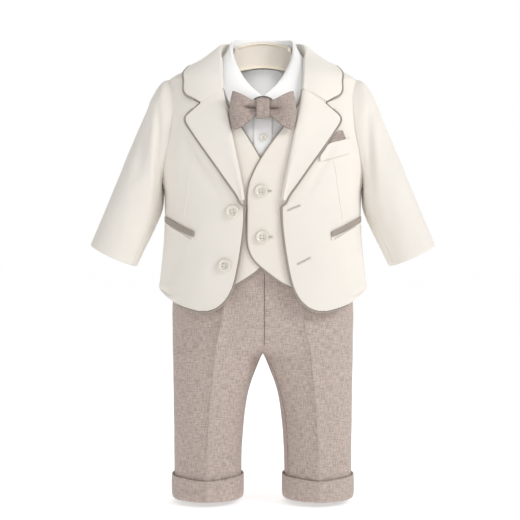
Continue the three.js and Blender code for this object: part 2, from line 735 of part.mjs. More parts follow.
function sleevePiece(ringsAt, count, from, to, cloth) {
  const still = Array(count).fill(0);
  const rings = ringsAt(still);
  const inner = moved(rings, cloth * insideOf(rings), true);
  const turn = seamGap / 2 / seamRadius;
  const startShift = ringsAt(still.map(() => turn));
  const endShift = ringsAt(still.map(() => -turn));
  const startInner = moved(startShift, cloth * insideOf(rings), true);
  const endInner = moved(endShift, cloth * insideOf(rings), true);
  const columns = [];
  for (let j = from; j <= to; j += 1) {
    columns.push(j % count);
  }
  const pick = (plain, start, end) => plain.map((row, i) => columns.map((column, k) => {
    if (k === 0) {
      return start[i][column];
    }
    return k === columns.length - 1 ? end[i][column] : row[column];
  }));
  const outerGrid = pick(rings, startShift, endShift);
  const innerGrid = pick(inner, startInner, endInner);
  return wall(outerGrid, innerGrid);
}

// Whether moving a tube's grid along its normals goes in (1) or out (-1)
function insideOf(rings) {
  const trial = moved(rings, 1, true);
  const sum = rings[0].reduce((total, point) => total.add(point), new THREE.Vector3());
  const middle = sum.divideScalar(rings[0].length);
  return trial[0][0].distanceTo(middle) < rings[0][0].distanceTo(middle) ? 1 : -1;
}

function tubeWall(rings, cloth) {
  return wall(rings, moved(rings, cloth * insideOf(rings), true), true);
}

function lapel() {
  const grid = (face) => lapelSections.map((row) => lapelColumns.map((column) => {
    const rollX = jacketEdgeAt(row.rollZ).x;
    const reach = Math.max(row.edgeX - rollX, 1);
    const along = Math.max(column.along, 0);
    const sag = along < lapelNotch ? along / lapelNotch : (1 - along) / (1 - lapelNotch);
    const x = rollX + reach * along + column.shift;
    const z = mix(row.rollZ, row.edgeZ, along) + sag * row.rise;
    return onFront(jacketForm, x, z, column[face]);
  }));
  const outer = grid('outside');
  const inner = grid('inside');
  return { outer, inner, geometry: wall(outer, inner) };
}

const every = (count) => Array.from({ length: count }, (_, i) => i);

// From the notch round the lapel, down the front edge and round the corner of the hem
function jacketPipingCord(lapelWall, front) {
  const tip = lapelColumns.length - 1;
  const notch = lapelColumns.findIndex((column) => column.along === lapelNotch);
  const lapelEdge = [
    ...every(tip - notch).slice(1).map((i) => edgeOf(lapelWall, 0, notch + i, 1, notch + i)),
    ...every(lapelSections.length).map((i) => edgeOf(lapelWall, i, tip, Math.max(i, 1), tip - 1)),
  ];
  const turn = pipingTurn.map((row) => ({
    centre: onFront(jacketForm, row.x, row.z, row.lift),
    through: outward(jacketForm, angleAcross(jacketForm, row.x, row.z), row.z),
  }));
  const frontEdge = freeEdge(front, pipingTurn[pipingTurn.length - 1].z, pipingHemEnd);
  return cord([...stopsAlong(lapelEdge, jacketPiping), ...turn, ...stopsAlong(frontEdge, jacketPiping)],
    jacketPiping);
}

// The edge of a front: down its first column from a level, across its last row, and up again
function freeEdge(front, from, to) {
  const rows = front.outer.length;
  const last = front.outer[0].length - 1;
  const down = every(rows).filter((i) => front.outer[i][0].z < from);
  const up = every(rows - 1).filter((i) => front.outer[i][last].z < to).reverse();
  return [
    ...down.map((i) => edgeOf(front, i, 0, Math.min(i, rows - 2), 1)),
    ...every(last + 1).slice(1, -1).map((j) => edgeOf(front, rows - 1, j, rows - 2, j)),
    edgeOf(front, rows - 1, last, rows - 2, last - 1),
    ...up.map((i) => edgeOf(front, i, last, i, last - 1)),
  ];
}

function collarPipingCord(built) {
  const rows = built.outer.length;
  const tip = built.outer[0].length - 1;
  const notch = tip - 1;
  const edge = [
    edgeOf(built, 0, notch, 1, notch),
    ...every(rows).map((i) => edgeOf(built, i, tip, Math.min(Math.max(i, 1), rows - 2), notch)),
    edgeOf(built, rows - 1, notch, rows - 2, notch),
  ];
  return cord(stopsAlong(edge, jacketPiping), jacketPiping);
}

function collarSections() {
  const neck = collarNeckSections.map((row) => ({
    roll: new THREE.Vector3(row.rollX, row.rollY, row.rollZ),
    foot: new THREE.Vector3(row.footX, row.footY, row.footZ),
    edge: place(jacketForm, radians(row.angle), row.edgeZ, collarEdgeLift),
    notch: 0,
  }));
  const front = collarFrontSections.map((row) => {
    const seam = onFront(jacketForm, jacketEdgeAt(row.seamZ).x, row.seamZ, 1.3);
    const under = onFront(jacketForm, jacketEdgeAt(row.seamZ).x - 1.2, row.seamZ, -1.2);
    return {
      roll: seam.add(new THREE.Vector3(-collarSeamIn.roll, 0, 0)),
      foot: under.add(new THREE.Vector3(-collarSeamIn.foot, 0, 0)),
      edge: place(jacketForm, radians(row.angle), row.edgeZ, 1),
      notch: row.notch,
    };
  });
  return [...neck, ...front];
}

function collarRow(section) {
  const stand = [section.foot.clone(), section.foot.clone().lerp(section.roll, 0.7)];
  const fall = collarFall.map((column) => {
    const point = section.roll.clone().lerp(section.edge, column.along);
    const sag = column.along < collarNotch.along
      ? column.along / collarNotch.along
      : (1 - column.along) / (1 - collarNotch.along);
    point.x += sag * section.notch * collarNotch.x;
    point.z += sag * section.notch * collarNotch.z;
    return point.z < jacketNeckLevel ? clearOf(jacketForm, point, column.gap || 0.5) : point;
  });
  return [...stand, ...fall];
}

const flipX = (point) => new THREE.Vector3(-point.x, point.y, point.z);

// Both halves of a collar, from its right end round the neck to its left end
function wholeCollar(halfRows) {
  const right = halfRows.slice(1).reverse().map((row) => row.map(flipX));
  return [...right, ...halfRows];
}

function collar(halfRows, cloth) {
  const inner = wholeCollar(halfRows);
  const middle = (inner.length - 1) / 2;
  const trial = moved(inner, 1);
  const last = inner[0].length - 1;
  const outwards = trial[middle][last].y > inner[middle][last].y ? 1 : -1;
  const outer = moved(inner, cloth * outwards);
  return { outer, inner, geometry: wall(outer, inner) };
}

// A strip on a front, between its top and bottom edges
function strip(form, rows, inside, outside, keep = (point) => point) {
  const grid = (lift) => rows.map((row) => [
    keep(onFront(form, row.x, row.top, lift)),
    keep(onFront(form, row.x, row.bottom, lift)),
  ]);
  return wall(grid(outside), grid(inside));
}

// Holes of a button, as shares of its diameter
const buttonHole = { spacing: 0.11, radius: 0.06 };

function button(diameter, thickness) {
  const circle = (x, y, radius, sides) => Array.from({ length: sides }, (_, i) => {
    const turn = (Math.PI * 2 * i) / sides;
    return new THREE.Vector2(x + radius * Math.cos(turn), y + radius * Math.sin(turn));
  });
  const outline = new THREE.Shape(circle(0, 0, diameter / 2, 16));
  const spacing = diameter * buttonHole.spacing;
  for (const [a, b] of [[1, 1], [-1, 1], [-1, -1], [1, -1]]) {
    outline.holes.push(new THREE.Path(circle(a * spacing, b * spacing, diameter * buttonHole.radius, 5)));
  }
  return new THREE.ExtrudeGeometry(outline, { depth: thickness, bevelEnabled: false });
}

// Shirt
const shirtArm = armholeOf(shirtArmhole);
const shirtNeckAt = curve(shirtNeckline, 'z');
const shirtLiftAt = (z) => mix(shirtLift, tuckedShirtLift, ease(tuck.start, tuck.end, z));

function shirtFront() {
  const side = bodyEnd(waistcoatForm, shirtArm, -1);
  return panel({
    form: waistcoatForm,
    levels: descending(shirtNeckLevels, shirtExtraLevels, shirtArm.levels, shirtLowerLevels),
    columns: 6,
    start: (z) => angleAcross(waistcoatForm, z > shirtCentreLevel ? shirtNeckAt(z).x : 0, z),
    end: side,
    outside: (angle, z) => shirtLiftAt(z),
    inside: (angle, z) => shirtLiftAt(z) - shirtCloth,
    keep: (point) => leftHalf(inFront(point)),
  });
}

function shirtBack() {
  const side = bodyEnd(waistcoatForm, shirtArm, 1);
  return panel({
    form: waistcoatForm,
    levels: descending(shirtNeckLevels, shirtArm.levels, shirtLowerLevels),
    columns: 8,
    start: side,
    end: (z) => Math.PI - side(z),
    outside: (angle, z) => shirtLiftAt(z),
    inside: (angle, z) => shirtLiftAt(z) - shirtCloth,
    keep: behindSeam,
  });
}

function shirtPlacket() {
  const grid = (rise) => placket.levels.map((z) => placket.columns.map((across) => {
    const lift = shirtLiftAt(z) + (placketLift - shirtLift) + rise;
    return onFront(waistcoatForm, across * placket.half, z, lift);
  }));
  return wall(grid(1), grid(0));
}

function shirtCollarRow(row) {
  const roll = new THREE.Vector3(row.rollX, row.rollY, row.rollZ);
  const foot = new THREE.Vector3(row.footX, row.footY, row.footZ);
  const edge = new THREE.Vector3(row.edgeX, row.edgeY, row.edgeZ);
  const away = edge.clone().sub(foot).normalize();
  const fall = shirtCollarFall.map((column) => {
    const point = roll.clone().lerp(edge, column.along);
    const forward = new THREE.Vector3(away.x * 0.4, row.rollY < 0 ? -1 : away.y, 0.25);
    point.addScaledVector(forward, column.bulge);
    return row.rollY < 0 && column.along > 0.3
      ? clearOf(waistcoatForm, point, shirtLift + column.gap)
      : point;
  });
  return [foot, foot.clone().lerp(roll, 0.72), ...fall];
}

// Waistcoat
const waistcoatArm = armholeOf(waistcoatArmhole);
const waistcoatHemAt = curve(waistcoatHem, 'z');

function waistcoatFront(edgeTable, raised) {
  const edgeAt = curve(edgeTable, 'z');
  const side = bodyEnd(waistcoatForm, waistcoatArm, -1);
  const extra = (angle, z) => raised * (1 - ease(26, 66, bare(waistcoatForm, angle, z).x));
  return panel({
    form: waistcoatForm,
    levels: descending(waistcoatShoulderLevels, waistcoatArm.levels, waistcoatLowerLevels),
    columns: 8,
    start: (z) => angleAcross(waistcoatForm, edgeAt(z).x, z),
    end: (z) => (z < waistcoatSideHem ? angleAcross(waistcoatForm, waistcoatHemAt(z).x, z) : side(z)),
    outside: extra,
    inside: (angle, z) => extra(angle, z) - waistcoatCloth,
    keep: inFront,
  });
}

function waistcoatBack() {
  const side = bodyEnd(waistcoatForm, waistcoatArm, 1);
  return panel({
    form: waistcoatForm,
    levels: descending(waistcoatShoulderLevels, waistcoatArm.levels, waistcoatBackLevels),
    columns: 12,
    start: side,
    end: (z) => Math.PI - side(z),
    outside: 0,
    inside: -waistcoatCloth,
    keep: behindSeam,
  });
}

// Bow tie: each wing is one strip of cloth, folded back on itself at its outer end
function bowWingGeometry() {
  const wingAt = curve(bowWing, 'along');
  const rows = Array.from({ length: bowPleat.rows + 1 }, (_, i) => i / bowPleat.rows);
  const grid = rows.map((row) => bowPath.map((step) => {
    const section = wingAt(Math.abs(step));
    const z = mix(section.top, section.bottom, row);
    const middle = 1 - (2 * row - 1) ** 2;
    const pleat = Math.exp(-(((row - bowPleat.middle) / bowPleat.width) ** 2));
    const fade = 1 - ease(bowPleat.fadeFrom, bowPleat.fadeTo, Math.abs(step));
    const front = section.front + bowPleat.depth * pleat * fade;
    const y = step >= 0 && step < 1 ? front : section.back;
    const tip = step === 1 ? (section.front + section.back) / 2 : y;
    return new THREE.Vector3(section.x + bow.tipBow * middle * Math.abs(step), tip, z);
  }));
  const trial = moved(grid, 1);
  const inwards = trial[4][2].y > grid[4][2].y ? 1 : -1;
  return wall(grid, moved(grid, bow.cloth * inwards));
}

function bowKnot() {
  const middleZ = (bow.knotTop + bow.knotBottom) / 2;
  const halfHeight = (bow.knotTop - bow.knotBottom) / 2;
  const middleY = (bow.knotFront + bow.knotBack) / 2;
  const halfDepth = (bow.knotBack - bow.knotFront) / 2;
  const { columns, round, squareness, pinch: endPinch } = bowKnotForm;
  const rings = columns.map((across) => Array.from({ length: round }, (_, i) => {
    const turn = (Math.PI * 2 * i) / round;
    const pinch = Math.abs(across) === 1 ? endPinch : 1;
    const up = Math.sign(Math.cos(turn)) * Math.abs(Math.cos(turn)) ** squareness;
    const deep = Math.sign(Math.sin(turn)) * Math.abs(Math.sin(turn)) ** squareness;
    return new THREE.Vector3(across * bow.knotHalfWidth, middleY + halfDepth * deep * pinch,
      middleZ + halfHeight * up * pinch);
  }));
  return tubeWall(rings, bow.cloth);
}

// Trousers
const creaseAt = curve(creaseLine, 'z');

function trouserPanel(side) {
  const columns = 8;
  const angleAt = (z, j) => {
    const inseam = z > crotchLevel ? angleAcross(trouserForm, 0, z, side) : side * Math.PI;
    const crease = angleAcross(trouserForm, creaseAt(z).x, z, side);
    const half = columns / 2;
    return j <= half ? mix(inseam, crease, j / half) : mix(crease, 0, (j - half) / half);
  };
  const keep = side < 0 ? inFront : behindSeam;
  const grid = (lift) => trouserLevels.map((z) => Array.from({ length: columns + 1 }, (_, j) => {
    const ridge = j === columns / 2 ? creaseHeight * ease(-240, -300, z) : 0;
    return leftHalf(keep(place(trouserForm, angleAt(z, j), z, lift + ridge)));
  }));
  return wall(grid(0), grid(-trouserCloth));
}

function waistbandGeometry() {
  const count = 28;
  const middle = (waistband.top + waistband.bottom) / 2;
  const ringAt = (z, lift) => Array.from({ length: count }, (_, i) => (
    place(trouserForm, (Math.PI * 2 * i) / count, z, lift)));
  const levels = [waistband.top, middle, waistband.bottom];
  return wall(levels.map((z) => ringAt(z, 0)), levels.map((z) => ringAt(z, -trouserCloth)), true);
}

function turnUpGeometry() {
  const count = 20;
  const rings = turnUp.map((row) => Array.from({ length: count }, (_, i) => {
    const angle = (Math.PI * 2 * i) / count;
    const facing = Math.abs(Math.sin(angle)) ** 6;
    const ridge = facing * creaseHeight;
    return place(trouserForm, angle, row.z - facing * turnUpDip * ease(-506, -480, row.z), row.lift + ridge);
  }));
  return tubeWall(rings, turnUpCloth);
}

// Contrast band and its rims, inside the stand of the shirt collar
function neckBandGrid(level) {
  const rows = shirtCollarSections.slice(0, 5).map((row) => {
    const foot = new THREE.Vector3(row.footX, row.footY, row.footZ);
    const roll = new THREE.Vector3(row.rollX, row.rollY, row.rollZ);
    const aside = (row.rollX / neckBand.halfWidth) ** 2;
    const high = Math.min(neckBand.top - neckBand.topDrop * aside, mix(foot.z, roll.z, neckBand.highest));
    const z = mix(neckBand.bottom - neckBand.bottomDrop * aside, high, level);
    return foot.lerp(roll, (z - foot.z) / (roll.z - foot.z)).multiply(new THREE.Vector3(neckBand.narrow, 1, 1));
  });
  const right = rows.slice(1).reverse().map(flipX);
  return [...right, ...rows];
}

function towardsNeck(points, distance) {
  return points.map((point) => {
    const out = new THREE.Vector3(point.x, point.y, 0).normalize();
    return point.clone().addScaledVector(out, -distance);
  });
}

function neckBandWall() {
  const levels = neckBandLevels.map(neckBandGrid);
  const near = shirtCollarCloth + neckBand.behind;
  const outer = levels.map((points) => towardsNeck(points, near + neckBand.cloth));
  const inner = levels.map((points) => towardsNeck(points, near));
  return wall(outer, inner);
}

function neckBandRim(low, high) {
  const levels = [low, high].map(neckBandGrid);
  const near = shirtCollarCloth + neckBand.behind + neckBand.cloth + 1.5 * seamGap;
  const outer = levels.map((points) => towardsNeck(points, near + 1));
  const inner = levels.map((points) => towardsNeck(points, near));
  return wall(outer, inner);
}

// Assembly
const suit = new THREE.Group();

function add(name, geometry, look) {
  const mesh = new THREE.Mesh(geometry, new THREE.MeshStandardMaterial(look));
  mesh.name = name;
  suit.add(mesh);
  return mesh;
}

function addPair(name, geometry, look) {
  add(`${name}_left`, geometry, look);
  add(`${name}_right`, mirrored(geometry), look);
}

function addButton(name, geometry, form, x, z, lift) {
  const angle = angleAcross(form, x, z);
  const mesh = add(name, geometry, ivoryHorn);
  mesh.position.copy(place(form, angle, z, lift));
  mesh.quaternion.setFromUnitVectors(new THREE.Vector3(0, 0, 1), outward(form, angle, z));
}

const frontPanel = jacketFront();
addPair('jacket_front', frontPanel.geometry, ivoryCloth);
add('jacket_back', jacketBack().geometry, ivoryCloth);

const sleeveCount = jacketArmhole.steps * 2;
const jacketSleeveAt = sleeveRings(jacketForm, jacketArm, jacketArmhole, 0, jacketSleeve);
const topSleeve = sleevePiece(jacketSleeveAt, sleeveCount, sleeveSeamBack, sleeveSeamFront + sleeveCount,
  jacketCloth);
const underSleeve = sleevePiece(jacketSleeveAt, sleeveCount, sleeveSeamFront, sleeveSeamBack, jacketCloth);
addPair('jacket_top_sleeve', topSleeve, ivoryCloth);
addPair('jacket_under_sleeve', underSleeve, ivoryCloth);

const jacketCollar = collar(collarSections().map(collarRow), collarCloth);
add('jacket_collar', jacketCollar.geometry, ivoryCloth);
const jacketLapel = lapel();
addPair('jacket_lapel', jacketLapel.geometry, ivoryCloth);
add('collar_piping', collarPipingCord(jacketCollar), taupeSatin);
addPair('jacket_piping', jacketPipingCord(jacketLapel, frontPanel), taupeSatin);

addPair('hip_welt', strip(jacketForm, hipWelt, 0.6, 2.2, inFront), taupeSatin);
const jetRows = hipWelt.map((row) => ({
  x: row.x,
  top: row.top - hipJet.drop,
  bottom: row.top - hipJet.drop - hipJet.height,
}));
addPair('hip_jet', strip(jacketForm, jetRows, 0.6, 1.7, inFront), ivoryCloth);
add('breast_welt', strip(jacketForm, breastWelt, 0.8, 2.4, inFront), ivoryCloth);
add('pocket_square', strip(jacketForm, pocketSquare, 0.7, 1.9, inFront), taupeLinen);

const bigButton = button(buttonDiameter, 2.4);
for (const row of jacketButtons) {
  addButton(row.name, bigButton, jacketForm, -row.x, row.z, 0.6);
}

const overFront = waistcoatFront(overFrontEdge, overlapLift);
add('waistcoat_front_left', overFront.geometry, waistcoatIvory);
const underFront = waistcoatFront(underFrontEdge, -0.1);
add('waistcoat_front_right', mirrored(underFront.geometry), waistcoatIvory);
add('waistcoat_back', waistcoatBack().geometry, waistcoatIvory);
const waistcoatCord = (front) => cord(
  stopsAlong(freeEdge(front, waistcoatPipingTop, waistcoatSideHem), waistcoatPiping),
  waistcoatPiping,
);
add('waistcoat_piping_left', waistcoatCord(overFront), taupeSatin);
add('waistcoat_piping_right', mirrored(waistcoatCord(underFront)), taupeSatin);
for (const row of waistcoatButtons) {
  addButton(row.name, bigButton, waistcoatForm, row.x, row.z, overlapLift + 0.4);
}

addPair('shirt_front', shirtFront().geometry, whiteCotton);
add('shirt_back', shirtBack().geometry, whiteCotton);
add('shirt_placket', shirtPlacket(), whiteCotton);
const shirtSleeveAt = sleeveRings(waistcoatForm, shirtArm, shirtArmhole, shirtLift, shirtSleeve);
const plainArmhole = Array(shirtArmhole.steps * 2).fill(0);
addPair('shirt_sleeve', tubeWall(shirtSleeveAt(plainArmhole), shirtCloth), whiteCotton);
const shirtCollar = collar(shirtCollarSections.map(shirtCollarRow), shirtCollarCloth);
add('shirt_collar', shirtCollar.geometry, whiteCotton);
addButton('shirt_button', button(smallButtonDiameter, 1.6), waistcoatForm, shirtButton.x, shirtButton.z,
  placketLift + 1.5);
add('neck_band', neckBandWall(), beigeTwill);
for (const rim of neckBandRims) {
  add(rim.name, neckBandRim(rim.low, rim.high), creamRib);
}

addPair('bow_wing', bowWingGeometry(), taupeLinen);
add('bow_knot', bowKnot(), taupeLinen);

addPair('trouser_front', trouserPanel(-1), taupeLinen);
addPair('trouser_back', trouserPanel(1), taupeLinen);
add('trouser_waistband', waistbandGeometry(), taupeLinen);
addPair('turn_up', turnUpGeometry(), taupeLinen);

export default suit;
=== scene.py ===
import math
from collections import namedtuple

import bmesh
import bpy
from bpy.props import FloatProperty, FloatVectorProperty, PointerProperty
from mathutils import Matrix, Vector, noise
from mathutils.bvhtree import BVHTree


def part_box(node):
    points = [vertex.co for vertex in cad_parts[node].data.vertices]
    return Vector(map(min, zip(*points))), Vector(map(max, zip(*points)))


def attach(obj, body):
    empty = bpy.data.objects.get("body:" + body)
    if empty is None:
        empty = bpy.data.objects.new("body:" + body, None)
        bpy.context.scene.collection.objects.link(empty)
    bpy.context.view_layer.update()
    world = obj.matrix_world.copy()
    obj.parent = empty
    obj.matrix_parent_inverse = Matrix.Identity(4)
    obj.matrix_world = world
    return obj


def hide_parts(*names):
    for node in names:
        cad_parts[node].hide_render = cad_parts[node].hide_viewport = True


bl_info = {
    "name": "Christening Suit",
    "version": (1, 0, 0),
    "blender": (4, 5, 0),
    "location": "3D View > Sidebar > Suit",
    "description": "Dresses a baby's christening suit in its cloth, piping, buttons and stitching",
    "category": "Object",
}

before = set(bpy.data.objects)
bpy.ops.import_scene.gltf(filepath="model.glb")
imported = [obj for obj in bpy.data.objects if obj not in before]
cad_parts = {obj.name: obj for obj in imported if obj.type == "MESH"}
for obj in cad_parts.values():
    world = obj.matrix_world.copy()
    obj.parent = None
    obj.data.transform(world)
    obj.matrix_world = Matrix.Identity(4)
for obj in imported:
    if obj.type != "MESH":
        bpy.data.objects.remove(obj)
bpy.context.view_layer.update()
MM = 0.001

# Camera and floor
CAMERA_PLACE = Vector((-3.3, -1500, -231.7)) * MM
SENSOR_WIDTH = 36.0
VIEW_WIDTH = 608.4
FLOOR_LEVEL = -513
FLOOR_HALF_WIDTH = 30.0
FLOOR_GLOW = 0.54
WHITE = (1, 1, 1, 1)

# Cloth
WELD = 2e-5
FLAT_ANGLE = math.radians(50)
SHAPE_ANGLE = math.radians(70)
SHARP_ANGLE = math.radians(60)
RIM_ANGLE = math.radians(58)
BOW_RIM_ANGLE = math.radians(80)
RIM_SHARPNESS = 0.75
TURN_UP_SHARPNESS = 0.85
PRESS_SHARPNESS = 0.9
PRESS_REACH = 1.6
PRESS_RISE = 2.6
PRESS_WIDTH = 6.0
HEM_RISE = 1.4
HEM_TOP = -440.0
HEM_FULL = -482.0
RIPPLE_SPAN = 26
SLEEVE_LEANS = {"left": -0.42, "right": 0.42}
FORM_ROUNDS = 3

# Weaves
# Painted shade: the bow tie's linen is the trousers' linen darkened by this share
BOW_PAINTED_SHADE = 0.8
SLUB_STREAK = 0.12
SLUB_FLOOR = 0.78
SLUB_CONTRAST = 2.2
FINE_RELIEF = 0.18 * MM
LINEN_RELIEF = 0.3 * MM

# Seams and threads
SEAM_REACH = 1.0 * MM
PAIR_REACH = 2.8 * MM
SEAM_RADIUS = 0.8 * MM
SEAM_SUNK = 0.6 * MM
GORGE_RADIUS = 1.2 * MM
GORGE_REACH = 4.5 * MM
GORGE_SEAM = (40, 73)
SHOULDER_SEAM = (50, 110)
SIDE_SEAM_TOP = -149
STRAP_RADIUS = 0.9 * MM
BUTTON_THREAD = 0.26 * MM
RIDGE_STEP = 2.5
CLEAR_OF_SUIT = 0.4

# One stitch: a share of its length, and how far the thread is lifted there as a share of its radius
STITCH = ((0.08, -0.2), (0.5, 0.7), (0.74, -0.2))

# Buttonholes
SLIT_RADIUS = 0.24 * MM
SLIT_LIFT = 0.12 * MM
HOLE_STITCHES = 18
HOLE_GAP = 0.45
HOLE_STITCH = 1.15
BAR_THREADS = 4
BAR_START = 0.35
BAR_STEP = 0.3
BAR_HALF_WIDTH = 1.5

# A button's four eyes, as shares of its radius, and its outline, as shares of its radius and thickness
EYE_PLACE = 0.22
EYE_RADIUS = 0.115
BUTTON_PROFILE = [
    (0, 0.42), (0.3, 0.42), (0.58, 0.5), (0.68, 0.84), (0.78, 1), (0.9, 0.94), (0.99, 0.66),
    (1, 0.4), (0.94, 0.12), (0.8, 0), (0, 0),
]

# A finish and the slot that it fills
IVORY = ("jacket_ivory", "jacket_cloth")
WAISTCOAT_IVORY = ("waistcoat_ivory", "waistcoat_cloth")
SATIN = ("taupe_satin", "satin_trim")
POPLIN = ("white_poplin", "shirt_cotton")
SUIT_LINEN = ("suit_linen", "taupe_linen")
FINE_SHADED_LINEN = ("fine_shaded_linen", "taupe_linen")
LINEN_THREAD_AND_SHADOW = ("linen_thread_and_shadow", "taupe_linen")

Fold = namedtuple("Fold", "x1 z1 x2 z2 bow width depth")
Form = namedtuple("Form", "top bottom flatness front back")
Cut = namedtuple("Cut", "width length area held rests_on")
Ridge = namedtuple("Ridge", "line radius sunk finish slot")
Button = namedtuple("Button", "form diameter thickness tilt")
Lamp = namedtuple("Lamp", "kind place aim size share beam")

JACKET_FRONT_FOLDS = [
    Fold(-99, -50, -104, -150, -3, 6, -1.1),
    Fold(98, -50, 105, -142, 3, 7, -0.9),
    Fold(-56, -176, -98, -128, 4, 9, -0.7),
    Fold(-93, -80, -44, -168, 0, 6, -1.8),
    Fold(90, -84, 46, -166, 0, 4, -0.9),
    Fold(-44, -186, -102, -232, -5, 12, 0.8),
    Fold(-72, -214, -67, -282, 3, 14, 0.9),
    Fold(62, -192, 72, -281, -4, 14, 0.8),
    Fold(46, -182, 101, -152, 4, 10, -0.6),
    Fold(96, -205, 105, -262, 2, 9, -1.0),
    Fold(-97, -208, -107, -261, 2, 9, -1.1),
]
JACKET_BACK_FOLDS = [
    Fold(-46, -32, -61, -152, 8, 14, -1.3),
    Fold(41, -40, 62, -168, -6, 12, -1.1),
    Fold(-90, -120, -71, -232, 6, 12, 0.9),
    Fold(8, -62, -5, -240, 3, 18, -1.0),
    Fold(88, -150, 74, -250, -5, 11, 0.9),
    Fold(-96, -170, -84, -255, 4, 10, -0.9),
    Fold(24, -205, 40, -262, 2, 10, 0.7),
]
RIGHT_SLEEVE_FRONT_FOLDS = [
    Fold(-121, -50, -122, -178, 1, 4.5, -5),
    Fold(-127, -38, -126, -152, 3, 5.5, 1.6),
    Fold(-134, -50, -146, -142, 3, 6, -2.2),
    Fold(-151, -98, -163, -172, 2, 9, 0.9),
    Fold(-136, -150, -151, -206, -3, 8, -0.9),
    Fold(-176, -176, -164, -216, 2, 7, -0.6),
]
LEFT_SLEEVE_FRONT_FOLDS = [
    Fold(122, -50, 125, -168, -1, 6, -4.6),
    Fold(129, -44, 128, -154, -3, 7, 1.3),
    Fold(138, -62, 147, -132, -3, 7, -1.5),
    Fold(154, -104, 160, -166, -3, 9, 0.8),
    Fold(134, -152, 149, -200, 3, 7, -0.8),
    Fold(180, -184, 166, -214, -2, 8, -0.5),
]
SLEEVE_BACK_FOLDS = [
    Fold(124, -48, 130, -138, 5, 7, -1.6),
    Fold(140, -78, 150, -158, -4, 8, 1.0),
    Fold(131, -140, 152, -176, 4, 6, -1.3),
    Fold(138, -160, 166, -190, -3, 7, -0.9),
    Fold(158, -186, 174, -222, 2, 8, 0.6),
]
TROUSER_FRONT_FOLDS = [
    Fold(5, -326, 38, -306, 4, 5, -1.0),
    Fold(-6, -328, -40, -312, -3, 6, -0.9),
    Fold(4, -338, 26, -352, 2, 5, -0.9),
    Fold(-5, -338, -24, -356, -2, 5, -0.8),
    Fold(84, -300, 92, -372, 3, 8, -0.8),
    Fold(-88, -306, -90, -380, -2, 8, -0.7),
    Fold(34, -392, 48, -418, 2, 8, -0.7),
    Fold(-38, -396, -52, -414, -2, 9, -0.6),
    Fold(88, -424, 78, -470, 2, 8, -0.6),
    Fold(-82, -430, -92, -474, -2, 8, -0.6),
]
TROUSER_BACK_FOLDS = [
    Fold(6, -322, 46, -300, 6, 7, -1.5),
    Fold(-6, -324, -50, -306, -5, 7, -1.3),
    Fold(24, -346, 88, -338, 5, 8, -1.3),
    Fold(-26, -350, -84, -336, -4, 8, -1.2),
    Fold(36, -398, 90, -392, -4, 9, -0.9),
    Fold(-40, -394, -92, -402, 4, 9, -0.8),
    Fold(44, -440, 56, -474, 2, 8, -0.7),
]
WAISTCOAT_FOLDS = [
    Fold(10, -150, 28, -126, 2, 7, -0.5),
    Fold(8, -206, 26, -186, 2, 7, -0.5),
    Fold(2, -170, 14, -196, 2, 8, 0.4),
]
SHIRT_FOLDS = [
    Fold(-22, -64, -18, -96, 1, 3, -0.4),
    Fold(20, -66, 17, -100, -1, 3, -0.4),
]

BOW_FOLDS = [
    Fold(6, -62, 22, -61, 0.5, 1.3, -3.4),
    Fold(-6, -61, -27, -60, -0.6, 1.3, -3.6),
    Fold(9, -55, 30, -49, 0.6, 3, 0.8),
    Fold(-9, -55, -30, -49, -0.6, 3, 0.7),
    Fold(10, -69, 30, -77, -0.8, 3.4, 0.8),
    Fold(-10, -68, -30, -75, 0.8, 3.4, 0.7),
    Fold(18, -81, 22, -66, 0.4, 2, -0.6),
    Fold(-15, -79, -20, -66, 0.4, 2, -0.5),
]

TORSO = Form((0, 0, 0), (0, 0, -500), 0.52, [], [])
FORMS = {
    "jacket": TORSO._replace(front=JACKET_FRONT_FOLDS, back=JACKET_BACK_FOLDS),
    "waistcoat": TORSO._replace(front=WAISTCOAT_FOLDS),
    "shirt": TORSO._replace(front=SHIRT_FOLDS),
    "bow": TORSO._replace(front=BOW_FOLDS, flatness=0.3),
    "trousers": TORSO._replace(front=TROUSER_FRONT_FOLDS, back=TROUSER_BACK_FOLDS),
    "sleeve_left": Form((115, 0, -89), (173, -10, -225), 1, LEFT_SLEEVE_FRONT_FOLDS, SLEEVE_BACK_FOLDS),
    "sleeve_right": Form(
        (-115, 0, -89),
        (-173, -10, -225),
        1,
        RIGHT_SLEEVE_FRONT_FOLDS,
        [fold._replace(x1=-fold.x1, x2=-fold.x2, bow=-fold.bow) for fold in SLEEVE_BACK_FOLDS],
    ),
}


def both_sides(name):
    """The names of the left and the right one of a pair."""
    return [name + "_left", name + "_right"]


# The pressed crease down the front and back of a leg
PRESS_LINE = [(40, -237), (45.6, -297), (54.3, -337), (60.3, -397), (63, -451), (64, -508)]

